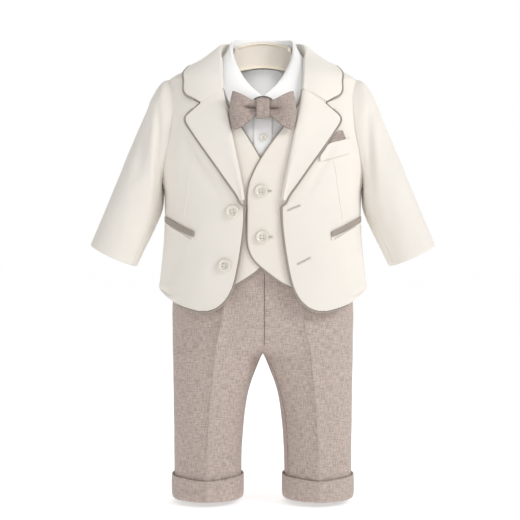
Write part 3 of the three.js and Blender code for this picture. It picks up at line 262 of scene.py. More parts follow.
# Ridges on the cloth: points across and up as seen from the front, on the wearer's left where there are two,
# half the width in millimetres and the share of it that is sunk in
INSEAM = [
    (9, -351), (13.5, -362), (18, -375), (22, -390), (25.2, -406), (27.4, -425), (28.7, -450), (29.2, -479),
]
RIDGES = {
    # The last stretch on each side of the notch between collar and lapel
    "notch_piping": Ridge(
        [(79.4, -48.6), (75.6, -50.4), (71.8, -52.6), (72.6, -54.4), (75.4, -56.8), (78.4, -59.6)],
        1.1, 0, *SATIN),
    "jacket_dart": Ridge(
        [(80.3, -119.5), (83, -134), (85.3, -152.3), (88.4, -171), (90.6, -188)], 0.8, 0.35, *IVORY),
    # A dark thread of painted shadow under each hip welt, for the shade in the pocket's slit
    "hip_slit_shadow": Ridge([(107, -193), (93, -201), (79.5, -208.2)], 0.3, 0, "slit_shadow", "jacket_cloth"),
    "hip_edge": Ridge([(106.5, -194.8), (92.6, -202.8), (79.6, -210)], 0.7, 0.2, *IVORY),
    # Dark threads of painted shadow in the bow's pleats
    "bow_pleat_left": Ridge([(7.4, -62), (11, -61.9), (14.5, -61.5)], 0.5, 0.3, *LINEN_THREAD_AND_SHADOW),
    "bow_pleat_right": Ridge([(-7.4, -61.2), (-13, -60.8), (-20, -60.2)], 0.5, 0.3, *LINEN_THREAD_AND_SHADOW),
    # A dark thread of painted shadow along the fly's overlapping edge
    "fly_fold_shadow": Ridge(
        [(1.6, -248), (1.8, -270), (2, -295), (1.9, -316), (1.2, -330)], 0.45, 0, *LINEN_THREAD_AND_SHADOW),
    "pressed_edge": Ridge(PRESS_LINE[1:-1], 0.8, 0.35, *SUIT_LINEN),
    "inner_leg_seam_left": Ridge(INSEAM, 0.4, 0.2, *LINEN_THREAD_AND_SHADOW),
    "inner_leg_seam_right": Ridge([(-x, z) for x, z in INSEAM], 0.6, 0.35, *SUIT_LINEN),
}

# Other sewn lines, and the strap behind the bow's knot with its depth as well
FLY_TACKS = [[(3.4, -289.5), (9.6, -290.2)], [(3.2, -293.8), (10.2, -294.4)]]
PLACKET_EDGES = [[(x, -60), (x, -118)] for x in (-9, 9)]
STRAP = [(-9.5, -56, -50.6), (-5, -57.5, -48.6), (0, -58, -47.9), (5, -57.5, -48.5), (9.5, -56, -50.4)]
BUTTONHOLES = {
    "jacket_buttonhole_upper": [(27.5, -176.2), (41.6, -170.5)],
    "jacket_buttonhole_lower": [(38.2, -236.7), (52.8, -229.4)],
    "waistcoat_buttonhole_upper": [(-2.2, -154.1), (9, -154.1)],
    "waistcoat_buttonhole_lower": [(-1, -205.8), (10.2, -205.8)],
}

# Diameter and thickness in millimetres, and how far the button is turned, in radians
BUTTONS = {
    "jacket_button_upper": Button("jacket", 15, 2.6, 0.2),
    "jacket_button_lower": Button("jacket", 15, 2.6, -0.1),
    "waistcoat_button_upper": Button("waistcoat", 15, 2.6, 0.05),
    "waistcoat_button_lower": Button("waistcoat", 15, 2.6, 0),
    "shirt_button": Button("shirt", 8, 1.7, 0.3),
}

# Places and sizes in metres, a share of the power set, and a spot's beam in degrees
SUIT_MIDDLE = (0, 0, -0.25)
LAMPS = {
    "key": Lamp("AREA", (1.6, -1.0, 0.85), SUIT_MIDDLE, 0.6, 1.46, None),
    "fill": Lamp("AREA", (-1.3, -1.5, 0.1), SUIT_MIDDLE, 1.4, 0.34, None),
    "back": Lamp("AREA", (0.3, 1.7, 0.7), SUIT_MIDDLE, 1.4, 0.5, None),
    "neck": Lamp("SPOT", (0.3, -1.0, 0.85), (0, 0.015, -0.012), 0.12, 0.4, 6.5),
    "opening": Lamp("SPOT", (0.05, -1.45, 0.1), (0, 0.03, -0.022), 0.02, 0.46, 2.4),
}


def tint(name, description, default):
    """A colour to set."""
    return FloatVectorProperty(
        name=name, description=description, subtype="COLOR", size=3, min=0, max=1, default=default)


class SuitColours(bpy.types.PropertyGroup):
    """Colours of the suit's cloth, trim and buttons."""

    ivory: tint("Jacket ivory", "Colour of the jacket's cloth", (0.8, 0.757, 0.695))
    waistcoat: tint("Waistcoat ivory", "Colour of the waistcoat's cloth", (0.81, 0.757, 0.685))
    trim: tint("Piping", "Colour of the piping and the hip welts", (0.36, 0.31, 0.265))
    linen: tint("Linen", "Colour of the trousers and the bow tie", (0.6, 0.49, 0.44))
    linen_dark: tint("Linen, dark yarn", "Colour of the linen's dark yarns", (0.33, 0.278, 0.248))
    cotton: tint("Shirt", "Colour of the shirt's cotton", (0.84, 0.835, 0.825))
    band: tint("Neck band", "Colour of the band inside the collar", (0.8, 0.735, 0.65))
    rim: tint("Band edge", "Colour of the ribbon along the neck band", (0.9, 0.81, 0.66))
    horn: tint("Buttons", "Colour of the buttons", (0.77, 0.725, 0.64))
    # Painted shadow: the dark colour of the threads laid in the buttonhole slits and under the hip welts,
    # standing for the shade inside them
    shadow: tint("Slit", "Colour inside a buttonhole and a pocket's slit", (0.4, 0.35, 0.29))


class SuitSizes(bpy.types.PropertyGroup):
    """Sizes of the suit's finer details."""

    fold_strength: FloatProperty(
        name="Folds", description="Depth of the folds, as a share of the ones placed by hand",
        default=1.0, min=0, max=1.6, subtype="FACTOR")
    ripple: FloatProperty(
        name="Ripple", description="Height of the cloth's slight unevenness", unit="LENGTH",
        default=0.00035, min=0, max=0.001)
    piping_swell: FloatProperty(
        name="Piping swell", description="How much the piping is rounded out", unit="LENGTH",
        default=0.00015, min=0, max=0.001)
    stitch: FloatProperty(
        name="Stitch", description="Length of one stitch", unit="LENGTH",
        default=0.0021, min=0.001, max=0.004)
    thread: FloatProperty(
        name="Thread", description="Half the width of a thread", unit="LENGTH",
        default=0.00022, min=0.0001, max=0.0005)
    yarns: FloatProperty(
        name="Yarns", description="Yarns to a metre of the fine cloth", default=1900, min=500, max=4000)
    key_light: FloatProperty(
        name="Key light", description="Power of the light at the upper right", unit="POWER",
        default=12.5, min=0, max=200)
    neck_light: FloatProperty(
        name="Neck light", description="Power of the two narrow lights into the neck", unit="POWER",
        default=150, min=0, max=1000)
    surround: FloatProperty(
        name="Surround", description="Strength of the even light all round", default=0.5, min=0, max=2)


def colours():
    return bpy.context.scene.suit_colours


def sizes():
    return bpy.context.scene.suit_sizes


# Shader node groups
def new_group(name, inputs, outputs):
    """An empty node group with its sockets, and its input and output nodes."""
    group = bpy.data.node_groups.new(name, "ShaderNodeTree")
    for label, kind, value in inputs:
        socket = group.interface.new_socket(label, in_out="INPUT", socket_type=kind)
        if value is not None:
            socket.default_value = value
    for label, kind in outputs:
        group.interface.new_socket(label, in_out="OUTPUT", socket_type=kind)
    return group, group.nodes.new("NodeGroupInput"), group.nodes.new("NodeGroupOutput")


def set_inputs(node, **values):
    """Sets a node's inputs by their labels, with an underscore for each space."""
    for label, value in values.items():
        node.inputs[label.replace("_", " ")].default_value = value


def maths(tree, operation, a, b=None):
    """One maths node. Each operand is a socket or a number."""
    node = tree.nodes.new("ShaderNodeMath")
    node.operation = operation
    for socket, value in zip(node.inputs, (a, b)):
        if value is None:
            continue
        if isinstance(value, (int, float)):
            socket.default_value = value
        else:
            tree.links.new(value, socket)
    return node.outputs[0]


def plain_weave_group():
    """Height of crossing yarns, over and under, on a flat cut."""
    group, start, end = new_group(
        "plain_weave",
        [("Vector", "NodeSocketVector", None), ("Yarns", "NodeSocketFloat", 1800.0)],
        [("Height", "NodeSocketFloat")],
    )
    parts = group.nodes.new("ShaderNodeSeparateXYZ")
    group.links.new(start.outputs["Vector"], parts.inputs[0])
    turn = maths(group, "MULTIPLY", start.outputs["Yarns"], math.pi)
    across = maths(group, "SINE", maths(group, "MULTIPLY", parts.outputs["X"], turn))
    along = maths(group, "SINE", maths(group, "MULTIPLY", parts.outputs["Y"], turn))
    both = maths(group, "MULTIPLY", across, along)
    height = maths(group, "ADD", maths(group, "MULTIPLY", both, 0.5), 0.5)
    group.links.new(height, end.inputs["Height"])
    return group


def slub_group():
    """Uneven yarns: streaks along the cut and across it, as a share from thin to thick."""
    group, start, end = new_group(
        "slub_yarns",
        [
            ("Vector", "NodeSocketVector", None),
            ("Yarns", "NodeSocketFloat", 900.0),
            ("Streak", "NodeSocketFloat", SLUB_STREAK),
        ],
        [("Slub", "NodeSocketFloat"), ("Height", "NodeSocketFloat")],
    )
    streaks = []
    for stretch_across in (True, False):
        parts = group.nodes.new("ShaderNodeSeparateXYZ")
        group.links.new(start.outputs["Vector"], parts.inputs[0])
        joined = group.nodes.new("ShaderNodeCombineXYZ")
        short = maths(group, "MULTIPLY", start.outputs["Yarns"], start.outputs["Streak"])
        scale_x = short if stretch_across else start.outputs["Yarns"]
        scale_y = start.outputs["Yarns"] if stretch_across else short
        group.links.new(maths(group, "MULTIPLY", parts.outputs["X"], scale_x), joined.inputs["X"])
        group.links.new(maths(group, "MULTIPLY", parts.outputs["Y"], scale_y), joined.inputs["Y"])
        joined.inputs["Z"].default_value = 3.0 if stretch_across else 9.0
        pattern = group.nodes.new("ShaderNodeTexNoise")
        set_inputs(pattern, Scale=1.0, Detail=3.0, Roughness=0.6)
        group.links.new(joined.outputs[0], pattern.inputs["Vector"])
        streaks.append(pattern.outputs[0])
    total = maths(group, "ADD", streaks[0], streaks[1])
    spread = maths(group, "MULTIPLY", maths(group, "SUBTRACT", total, SLUB_FLOOR), SLUB_CONTRAST)
    clamp = group.nodes.new("ShaderNodeClamp")
    group.links.new(spread, clamp.inputs["Value"])
    group.links.new(clamp.outputs[0], end.inputs["Slub"])
    group.links.new(total, end.inputs["Height"])
    return group


def cloud_group():
    """Slow, faint changes of tone over the cloth."""
    group, start, end = new_group(
        "cloth_tone",
        [("Vector", "NodeSocketVector", None), ("Scale", "NodeSocketFloat", 22.0)],
        [("Tone", "NodeSocketFloat")],
    )
    pattern = group.nodes.new("ShaderNodeTexNoise")
    pattern.inputs["Detail"].default_value = 2.0
    group.links.new(start.outputs["Vector"], pattern.inputs["Vector"])
    group.links.new(start.outputs["Scale"], pattern.inputs["Scale"])
    group.links.new(pattern.outputs[0], end.inputs["Tone"])
    return group


def placed_group(material, builder, place, **values):
    """A node group in a material, made the first time it is used, with its pattern laid out at a place."""
    names = {plain_weave_group: "plain_weave", slub_group: "slub_yarns", cloud_group: "cloth_tone"}
    group = bpy.data.node_groups.get(names[builder]) or builder()
    node = material.node_tree.nodes.new("ShaderNodeGroup")
    node.node_tree = group
    material.node_tree.links.new(place, node.inputs["Vector"])
    set_inputs(node, **values)
    return node


def shaded(name):
    """A new material, its tree and its shader."""
    material = bpy.data.materials.new(name)
    material.use_nodes = True
    shader = material.node_tree.nodes["Principled BSDF"]
    return material, material.node_tree, shader


def dimmed(colour, share):
    """A darker shade of a colour."""
    return [part * share for part in colour]


def colour_between(tree, amount, low, high):
    """A mix of two colours by a mask."""
    mix = tree.nodes.new("ShaderNodeMix")
    mix.data_type = "RGBA"
    tree.links.new(amount, mix.inputs["Factor"])
    mix.inputs["A"].default_value = (*low, 1)
    mix.inputs["B"].default_value = (*high, 1)
    return mix.outputs["Result"]


def bumped(tree, shader, height, strength, distance):
    """A bump from a height, on the shader's normal."""
    bump = tree.nodes.new("ShaderNodeBump")
    set_inputs(bump, Strength=strength, Distance=distance)
    tree.links.new(height, bump.inputs["Height"])
    tree.links.new(bump.outputs[0], shader.inputs["Normal"])


def cut_vector(tree):
    """Where a point lies on the flat cut, in metres."""
    layer = tree.nodes.new("ShaderNodeUVMap")
    layer.uv_map = "cut"
    return layer.outputs[0]


def fine_cloth(name, colour, yarns, roughness, sheen, relief=0.35, shade=0.955):
    """Closely woven cloth: fine crossing yarns and a faint change of tone."""
    material, tree, shader = shaded(name)
    place = cut_vector(tree)
    tone = placed_group(material, cloud_group, place, Scale=26.0)
    weave = placed_group(material, plain_weave_group, place, Yarns=yarns)
    dark = dimmed(colour, shade)
    tree.links.new(colour_between(tree, tone.outputs["Tone"], dark, colour), shader.inputs["Base Color"])
    bumped(tree, shader, weave.outputs["Height"], relief, FINE_RELIEF)
    set_inputs(shader, Roughness=roughness, Specular_IOR_Level=0.3)
    set_inputs(shader, Sheen_Weight=sheen, Sheen_Roughness=0.5)


def slub_cloth(name, light, dark, yarns):
    """Linen look: thick and thin yarns both ways, in two tones."""
    material, tree, shader = shaded(name)
    place = cut_vector(tree)
    slub = placed_group(material, slub_group, place, Yarns=yarns, Streak=SLUB_STREAK)
    weave = placed_group(material, plain_weave_group, place, Yarns=yarns * 1.6)
    tree.links.new(colour_between(tree, slub.outputs["Slub"], dark, light), shader.inputs["Base Color"])
    height = maths(tree, "ADD", slub.outputs["Height"], maths(tree, "MULTIPLY", weave.outputs["Height"], 0.5))
    bumped(tree, shader, height, 0.5, LINEN_RELIEF)
    set_inputs(shader, Roughness=0.9, Sheen_Weight=0.12, Specular_IOR_Level=0.2)


def horn_finish(name, colour):
    """Polished ivory button, with faint clouds in it."""
    material, tree, shader = shaded(name)
    coordinates = tree.nodes.new("ShaderNodeTexCoord")
    tone = placed_group(material, cloud_group, coordinates.outputs["Object"], Scale=160.0)
    dark = dimmed(colour, 0.86)
    tree.links.new(colour_between(tree, tone.outputs["Tone"], dark, colour), shader.inputs["Base Color"])
    set_inputs(shader, Roughness=0.28, Coat_Weight=0.3)


def finishes():
    """Every finish of the suit by name, made once."""
    if "jacket_ivory" not in bpy.data.materials:
        colour = colours()
        yarns = sizes().yarns
        fine_cloth("jacket_ivory", colour.ivory, yarns, 0.72, 0.18)
        fine_cloth("waistcoat_ivory", colour.waistcoat, yarns, 0.74, 0.15)
        fine_cloth("taupe_satin", colour.trim, yarns * 1.3, 0.5, 0.3, relief=0.5, shade=0.8)
        fine_cloth("white_poplin", colour.cotton, yarns * 1.25, 0.8, 0.05, shade=0.98)
        fine_cloth("beige_twill", colour.band, yarns, 0.75, 0.1)
        fine_cloth("cream_rib", colour.rim, yarns * 0.6, 0.6, 0.15, relief=0.8)
        fine_cloth("ivory_thread", dimmed(colour.ivory, 0.93), yarns * 2, 0.6, 0.2)
        # Dark linen thread for the fly's tacks and the inner leg seam; the same dark colour is painted shadow
        # in the fly's fold, in the bow's pleats and round the bow's strap
        fine_cloth("linen_thread_and_shadow", dimmed(colour.linen_dark, 0.55), yarns * 2, 0.7, 0.1)
        # Painted shadow: the dark finish for the threads in the buttonhole slits and under the hip welts
        fine_cloth("slit_shadow", colour.shadow, yarns, 0.95, 0)
        slub_cloth("suit_linen", colour.linen, colour.linen_dark, 1050.0)
        # Painted shade: the bow tie and the pocket square get a darker copy of the trousers' linen, woven
        # finer
        bow_shaded_tones = [dimmed(tone, BOW_PAINTED_SHADE) for tone in (colour.linen, colour.linen_dark)]
        slub_cloth("fine_shaded_linen", *bow_shaded_tones, 1300.0)
        horn_finish("polished_horn", colour.horn)
    return bpy.data.materials


# Folds
def fold_height(folds, x, z):
    """How far the folds lift the cloth at a place seen from the front, in millimetres."""
    total = 0.0
    for fold in folds:
        run = Vector((fold.x2 - fold.x1, fold.z2 - fold.z1))
        here = Vector((x - fold.x1, z - fold.z1))
        along = here.dot(run) / run.length_squared
        if not 0 < along < 1:
            continue
        side = run.x * here.y - run.y * here.x
        middle = side / run.length - fold.bow * 4 * along * (1 - along)
        total += fold.depth * math.sin(math.pi * along) ** 0.8 * math.exp(-(middle / fold.width) ** 2)
    return total


def away_from_axis(form, point):
    """The direction straight out of a sleeve, leg or body, in millimetres."""
    top = Vector(form.top)
    axis = (Vector(form.bottom) - top).normalized()
    out = point - top
    out -= axis * out.dot(axis)
    out.y /= form.flatness**2
    return out.normalized()


def folded(mesh, form):
    """Moves the cloth out and in at its folds, with a slight ripple all over."""
    strength = sizes().fold_strength
    ripple = sizes().ripple / MM
    for vertex in mesh.vertices:
        point = vertex.co / MM
        folds = form.front if point.y < 0 else form.back
        lift = strength * fold_height(folds, point.x, point.z)
        lift += ripple * noise.noise(point / RIPPLE_SPAN)
        vertex.co += away_from_axis(form, point) * lift * MM


# Pieces
def press_at(z):
    """How far out the pressed crease lies at a level."""
    for (x1, top), (x2, bottom) in zip(PRESS_LINE, PRESS_LINE[1:]):
        if bottom <= z <= top:
            return x1 + (x2 - x1) * (top - z) / (top - bottom)
    return None


def pressed_out(mesh):
    """Lifts the front of the legs and turn-ups to a pressed edge, most of all at the hem."""
    for vertex in mesh.vertices:
        point = vertex.co / MM
        x = press_at(point.z)
        if x is None or point.y > 0:
            continue
        low = min(max((HEM_TOP - point.z) / (HEM_TOP - HEM_FULL), 0), 1)
        away = abs(abs(point.x) - x) / (PRESS_WIDTH * (1 + low))
        vertex.co.y -= (PRESS_RISE + HEM_RISE * low) * math.exp(-away) * MM


def on_press(point):
    """Whether a point lies on the pressed crease."""
    x = press_at(point.z / MM)
    return x is not None and abs(abs(point.x) / MM - x) < PRESS_REACH


def in_scene(name, data):
    """A new object of a mesh, a curve, a camera or a light, in the scene."""
    obj = bpy.data.objects.new(name, data)
    bpy.context.scene.collection.objects.link(obj)
    return obj


def mesh_of(name, bm):
    """A new mesh with the shape that was edited."""
    mesh = bpy.data.meshes.new(name)
    bm.to_mesh(mesh)
    bm.free()
    return mesh


def made_mesh(obj):
    """A new mesh of an object as its modifiers or its bevel make it."""
    return bpy.data.meshes.new_from_object(obj.evaluated_get(bpy.context.evaluated_depsgraph_get()))


def welded(*nodes):
    """The meshes of some nodes together, with each one's loose triangles joined."""
    bm = bmesh.new()
    for node in nodes:
        bm.from_mesh(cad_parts[node].data)
    bmesh.ops.remove_doubles(bm, verts=bm.verts, dist=WELD)
    return bm


def smoothed(obj, levels):
    """The object's mesh, subdivided."""
    modifier = obj.modifiers["smooth"]
    modifier.levels = modifier.render_levels = levels
    return made_mesh(obj)


def keep_form(obj):
    """Moves the coarse points out until the smooth surface passes through where they were."""
    aims = [vertex.co.copy() for vertex in obj.data.vertices]
    for _ in range(FORM_ROUNDS):
        trial = smoothed(obj, 1)
        for vertex, aim, found in zip(obj.data.vertices, aims, trial.vertices):
            vertex.co += aim - found.co
        obj.data.update()
        bpy.data.meshes.remove(trial)


def refined(node, levels, rim_angle=RIM_ANGLE, rim=RIM_SHARPNESS, pressed=False, swell=0.0):
    """A finer mesh of a piece: its wall in four-sided faces, its rim kept crisp, then smoothed."""
    bm = welded(node)
    bmesh.ops.join_triangles(
        bm, faces=bm.faces, angle_face_threshold=FLAT_ANGLE, angle_shape_threshold=SHAPE_ANGLE)
    crease = bm.edges.layers.float.new("crease_edge")
    for edge in bm.edges:
        if rim and edge.calc_face_angle(0) > rim_angle:
            edge[crease] = rim
        elif pressed and all(on_press(vertex.co) for vertex in edge.verts):
            edge[crease] = PRESS_SHARPNESS
    base = in_scene(node + "_base", mesh_of(node, bm))
    base.modifiers.new("smooth", "SUBSURF")
    keep_form(base)
    finished = smoothed(base, levels)
    bpy.data.objects.remove(base)
    if swell:
        for vertex in finished.vertices:
            vertex.co += vertex.normal * swell
    return finished


def lay_out(mesh, lean=0.0):
    """Lays the cut's own flat places on the mesh, with the grain leaning as a sleeve does."""
    turn = Matrix.Rotation(lean, 3, "Y")
    layer = mesh.uv_layers.get("cut") or mesh.uv_layers.new(name="cut")
    for face in mesh.polygons:
        sideways = abs(face.normal.x) > abs(face.normal.y)
        for loop in face.loop_indices:
            point = turn @ mesh.vertices[mesh.loops[loop].vertex_index].co
            layer.data[loop].uv = (point.y if sideways else point.x, point.z)


def piece(name, mesh, finish, nodes=(), lean=0.0):
    """Puts a finished mesh in the scene as a piece that stands for its nodes."""
    lay_out(mesh, lean)
    mesh.materials.clear()
    mesh.materials.append(finishes()[finish])
    mesh.shade_smooth()
    mesh.set_sharp_from_angle(angle=SHARP_ANGLE)
    obj = in_scene(name, mesh)
    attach(obj, "root")
    if nodes:
        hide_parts(*nodes)


def cloth(node, form, finish, slot, levels=2, lean=0.0, **details):
    """One piece of cloth: a fine, folded shell on the form of its node."""
    mesh = refined(node, max(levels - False, 1), **details)
    folded(mesh, FORMS[form])
    if node.startswith(("trouser_front", "turn_up")):
        pressed_out(mesh)
    piece(node + "_cloth", mesh, finish, [node], lean)


# Sewn lines
def surface_of(*nodes):
    """A quick way to find the surface of several pieces of cloth together."""
    bm = bmesh.new()
    for node in nodes:
        bm.from_mesh(bpy.data.objects[node + "_cloth"].data)
    tree = BVHTree.FromBMesh(bm)
    bm.free()
    return tree


def found_on(surface, spot, lift, side=-1):
    """A point on the cloth straight behind or before a place seen from the front, in metres."""
    start = Vector((spot.x * MM, side * CLEAR_OF_SUIT, spot.y * MM))
    place, normal, _, _ = surface.ray_cast(start, Vector((0, -side, 0)))
    if place is None:
        raise RuntimeError(f"no cloth at {spot.x:.1f}, {spot.y:.1f}")
    return place + normal * lift


def evenly(points, step):
    """Points at even steps along a line of points."""
    found = [Vector(points[0])]
    carried = 0.0
    for a, b in zip(points, points[1:]):
        a, b = Vector(a), Vector(b)
        length = (b - a).length
        travelled = step - carried
        while travelled <= length:
            found.append(a.lerp(b, travelled / length))
            travelled += step
        carried = (carried + length) % step
    return found


def threads(name, runs, radius, finish, slot, sides=2):
    """Several short round threads as one piece. Each run is a list of points in metres."""
    curve = bpy.data.curves.new(name, "CURVE")
    curve.dimensions = "3D"
    curve.bevel_depth = radius
    curve.bevel_resolution = sides
    curve.use_fill_caps = True
    for run in runs:
        spline = curve.splines.new("POLY")
        spline.points.add(len(run) - 1)
        for target, point in zip(spline.points, run):
            target.co = (*point, 1)
    holder = in_scene(name + "_path", curve)
    mesh = made_mesh(holder)
    bpy.data.objects.remove(holder)
    piece(name, mesh, finish)


def sewn_ridge(name, surface, half="", side=-1):
    """A seam or cord that shows as a fine ridge on the cloth, mirrored for the wearer's right."""
    ridge = RIDGES[name]
    radius = ridge.radius * MM
    line = [(-x, z) for x, z in ridge.line] if half == "right" else ridge.line
    run = [found_on(surface, spot, -radius * ridge.sunk, side) for spot in evenly(line, RIDGE_STEP)]
    threads(f"{name}_{half}" if half else name, [run], radius, ridge.finish, ridge.slot)


def meeting_points(node, others, order, low, high, reach):
    """Where a piece's outer edge meets its neighbours between two places on an axis, in order along it."""
    bm = welded(node)
    near = welded(*others)
    tree = BVHTree.FromBMesh(near)
    found = []
    for vertex in bm.verts:
        place, _, _, _ = tree.find_nearest(vertex.co, reach)
        if place is not None:
            middle = (vertex.co + place) / 2
            if low * MM < middle[order] < high * MM:
                found.append((middle, away_from_axis(FORMS["jacket"], middle / MM)))
    bm.free()
    near.free()
    kept = []
    for point, out in sorted(found, key=lambda pair: pair[0][order]):
        gaps = [other - point for other, _ in found]
        under = any(gap.length < PAIR_REACH and gap.dot(out) > WELD for gap in gaps)
        apart = not kept or (kept[-1][0] - point).length > SEAM_REACH
        if apart and not under:
            kept.append((point, out))
    return kept


def through(points, steps=5):
    """A smooth run of points through the given ones."""
    ends = [points[0] * 2 - points[1], *points, points[-1] * 2 - points[-2]]
    run = []
    for a, b, c, d in zip(ends, ends[1:], ends[2:], ends[3:]):
        for i in range(steps):
            t = i / steps
            run.append(b + (c - a) * (t / 2) + (a * 2 - b * 5 + c * 4 - d) * (t * t / 2)
                       + (b * 3 - a - c * 3 + d) * (t ** 3 / 2))
    return [*run, points[-1]]


def jacket_seam(name, node, others, order=2, low=-600, high=100, radius=SEAM_RADIUS, reach=SEAM_REACH):
    """A soft cord of cloth that closes the seam between two pieces of the jacket."""
    pairs = meeting_points(node, others, order, low, high, reach)
    if len(pairs) < 3:
        raise RuntimeError(f"{name}: the pieces meet at {len(pairs)} points")
    shape = FORMS["jacket"]
    stops = []
    for point, out in pairs:
        here = point / MM
        folds = shape.front if here.y < 0 else shape.back
        lift = sizes().fold_strength * fold_height(folds, here.x, here.z) * MM
        stops.append(point + out * (lift - SEAM_SUNK))
    threads(name, [through(stops)], radius, *IVORY)


def stitches(name, surface, lines, finish, slot):
    """Rows of stitches along lines seen from the front."""
    pitch = sizes().stitch / MM
    thread = sizes().thread
    runs = []
    for line in lines:
        places = evenly(line, pitch)
        for a, b in zip(places, places[1:]):
            runs.append([found_on(surface, a.lerp(b, share), thread * lift) for share, lift in STITCH])
    threads(name, runs, thread, finish, slot, sides=1)


def buttonhole(name, surface, ends):
    """A slit, drawn as a dark thread of painted shadow, with close stitches down both sides and a bar at its
    far end.
    """
    a, b = Vector(ends[0]), Vector(ends[1])
    along = (b - a).normalized()
    across = Vector((-along.y, along.x))
    thread = sizes().thread
    # The slit is a dark thread of painted shadow, for the shade inside the cut
    slit = [found_on(surface, spot, SLIT_LIFT) for spot in (a, a.lerp(b, 0.33), a.lerp(b, 0.66), b)]
    threads(name + "_slit", [slit], SLIT_RADIUS, "slit_shadow", "jacket_cloth")
    runs = []
    for side in (-1, 1):
        for i in range(HOLE_STITCHES):
            foot = a.lerp(b, (i + 0.5) / HOLE_STITCHES) + across * side * HOLE_GAP
            tip = foot + across * side * HOLE_STITCH
            runs.append([found_on(surface, foot, thread * 1.4), found_on(surface, tip, thread * 0.2)])
    for i in range(BAR_THREADS):
        foot = b + along * (BAR_START + i * BAR_STEP) - across * BAR_HALF_WIDTH
        tip = foot + across * 2 * BAR_HALF_WIDTH
        runs.append([found_on(surface, spot, thread * 0.6) for spot in (foot, tip)])
    threads(name, runs, thread, "ivory_thread", "jacket_cloth", sides=1)


# Buttons
def button_mesh(name, diameter, thickness):
    """A turned button: a raised rim, a dished face and four holes, facing up."""
    radius = diameter / 2
    bm = bmesh.new()
    verts = [bm.verts.new((across * radius, 0, up * thickness)) for across, up in BUTTON_PROFILE]
    edges = [bm.edges.new(pair) for pair in zip(verts, verts[1:])]
    bmesh.ops.spin(
        bm, geom=verts + edges, cent=(0, 0, 0), axis=(0, 0, 1), angle=2 * math.pi, steps=40, use_merge=True)
    bmesh.ops.remove_doubles(bm, verts=bm.verts, dist=1e-6)
    bmesh.ops.recalc_face_normals(bm, faces=bm.faces)
    body = in_scene(name + "_body", mesh_of(name, bm))
    cutter = bmesh.new()
    place, width = radius * EYE_PLACE, radius * EYE_RADIUS
    for x, y in ((1, 1), (-1, 1), (-1, -1), (1, -1)):
        bmesh.ops.create_cone(
            cutter, cap_ends=True, segments=14, radius1=width, radius2=width, depth=thickness * 3,
            matrix=Matrix.Translation((x * place, y * place, thickness / 2)))
    tool = in_scene(name + "_tool", mesh_of(name + "_holes", cutter))
    cut = body.modifiers.new("holes", "BOOLEAN")
    cut.object = tool
    cut.operation = "DIFFERENCE"
    finished = made_mesh(body)
    bpy.data.objects.remove(body)
    bpy.data.objects.remove(tool)
    return finished


def facing_of(node):
    """Where a button's back lies, and the way that it faces."""
    low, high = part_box(node)
    facing = Vector()
    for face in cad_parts[node].data.polygons:
        if face.normal.y < -0.5:
            facing += face.normal * face.area
    return (low + high) / 2, facing.normalized()


def sew_button(node, button):
    """A button with its thread, on its node's place, moved with the cloth below it."""
    form = FORMS[button.form]
    diameter, thickness = button.diameter * MM, button.thickness * MM
    centre, facing = facing_of(node)
    point = centre / MM
    lift = sizes().fold_strength * fold_height(form.front, point.x, point.z) * MM
    centre += away_from_axis(form, point) * lift
    turn = facing.to_track_quat("Z", "Y").to_matrix().to_4x4() @ Matrix.Rotation(button.tilt, 4, "Z")
    back = Matrix.Translation(centre - facing * thickness / 2) @ turn
    mesh = button_mesh(node, diameter, thickness)
    mesh.transform(back)
    piece(node + "_turned", mesh, "polished_horn", [node])
    reach = diameter / 2 * EYE_PLACE
    low, top = thickness * 0.15, thickness * 0.52
    runs = []
    for side in (-1, 1):
        for shift in (-0.25 * MM, 0.25 * MM):
            x = side * reach + shift
            path = [(x, -reach, low), (x, -0.8 * reach, top), (x, 0.8 * reach, top), (x, reach, low)]
            runs.append([back @ Vector(spot) for spot in path])
    threads(node + "_thread", runs, BUTTON_THREAD, "ivory_thread", "button_horn")


# Operators
class SUIT_OT_jacket(bpy.types.Operator):
    """Makes the jacket's fronts, back, sleeves, collar, lapels and pockets"""

    bl_idname = "suit.jacket"
    bl_label = "Jacket"

    def execute(self, context):
        fronts, lapels = both_sides("jacket_front"), both_sides("jacket_lapel")
        for node in [*fronts, "jacket_back", *lapels, "jacket_collar"]:
            cloth(node, "jacket", *IVORY, levels=2 if node == "jacket_back" else 3)
        for part, levels in (("jacket_top_sleeve", 3), ("jacket_under_sleeve", 2)):
            for side, lean in SLEEVE_LEANS.items():
                cloth(f"{part}_{side}", "sleeve_" + side, *IVORY, levels=levels, lean=lean)
        for node in both_sides("hip_welt"):
            cloth(node, "jacket", *SATIN, levels=3)
        for node in [*both_sides("hip_jet"), "breast_welt"]:
            cloth(node, "jacket", *IVORY, levels=3)
        cloth("pocket_square", "jacket", *FINE_SHADED_LINEN, levels=3)
        return {"FINISHED"}


class SUIT_OT_waistcoat(bpy.types.Operator):
    """Makes the waistcoat's fronts and back"""

    bl_idname = "suit.waistcoat"
    bl_label = "Waistcoat"

    def execute(self, context):
        for node in both_sides("waistcoat_front"):
            cloth(node, "waistcoat", *WAISTCOAT_IVORY, levels=3)
        cloth("waistcoat_back", "waistcoat", *WAISTCOAT_IVORY)
        return {"FINISHED"}


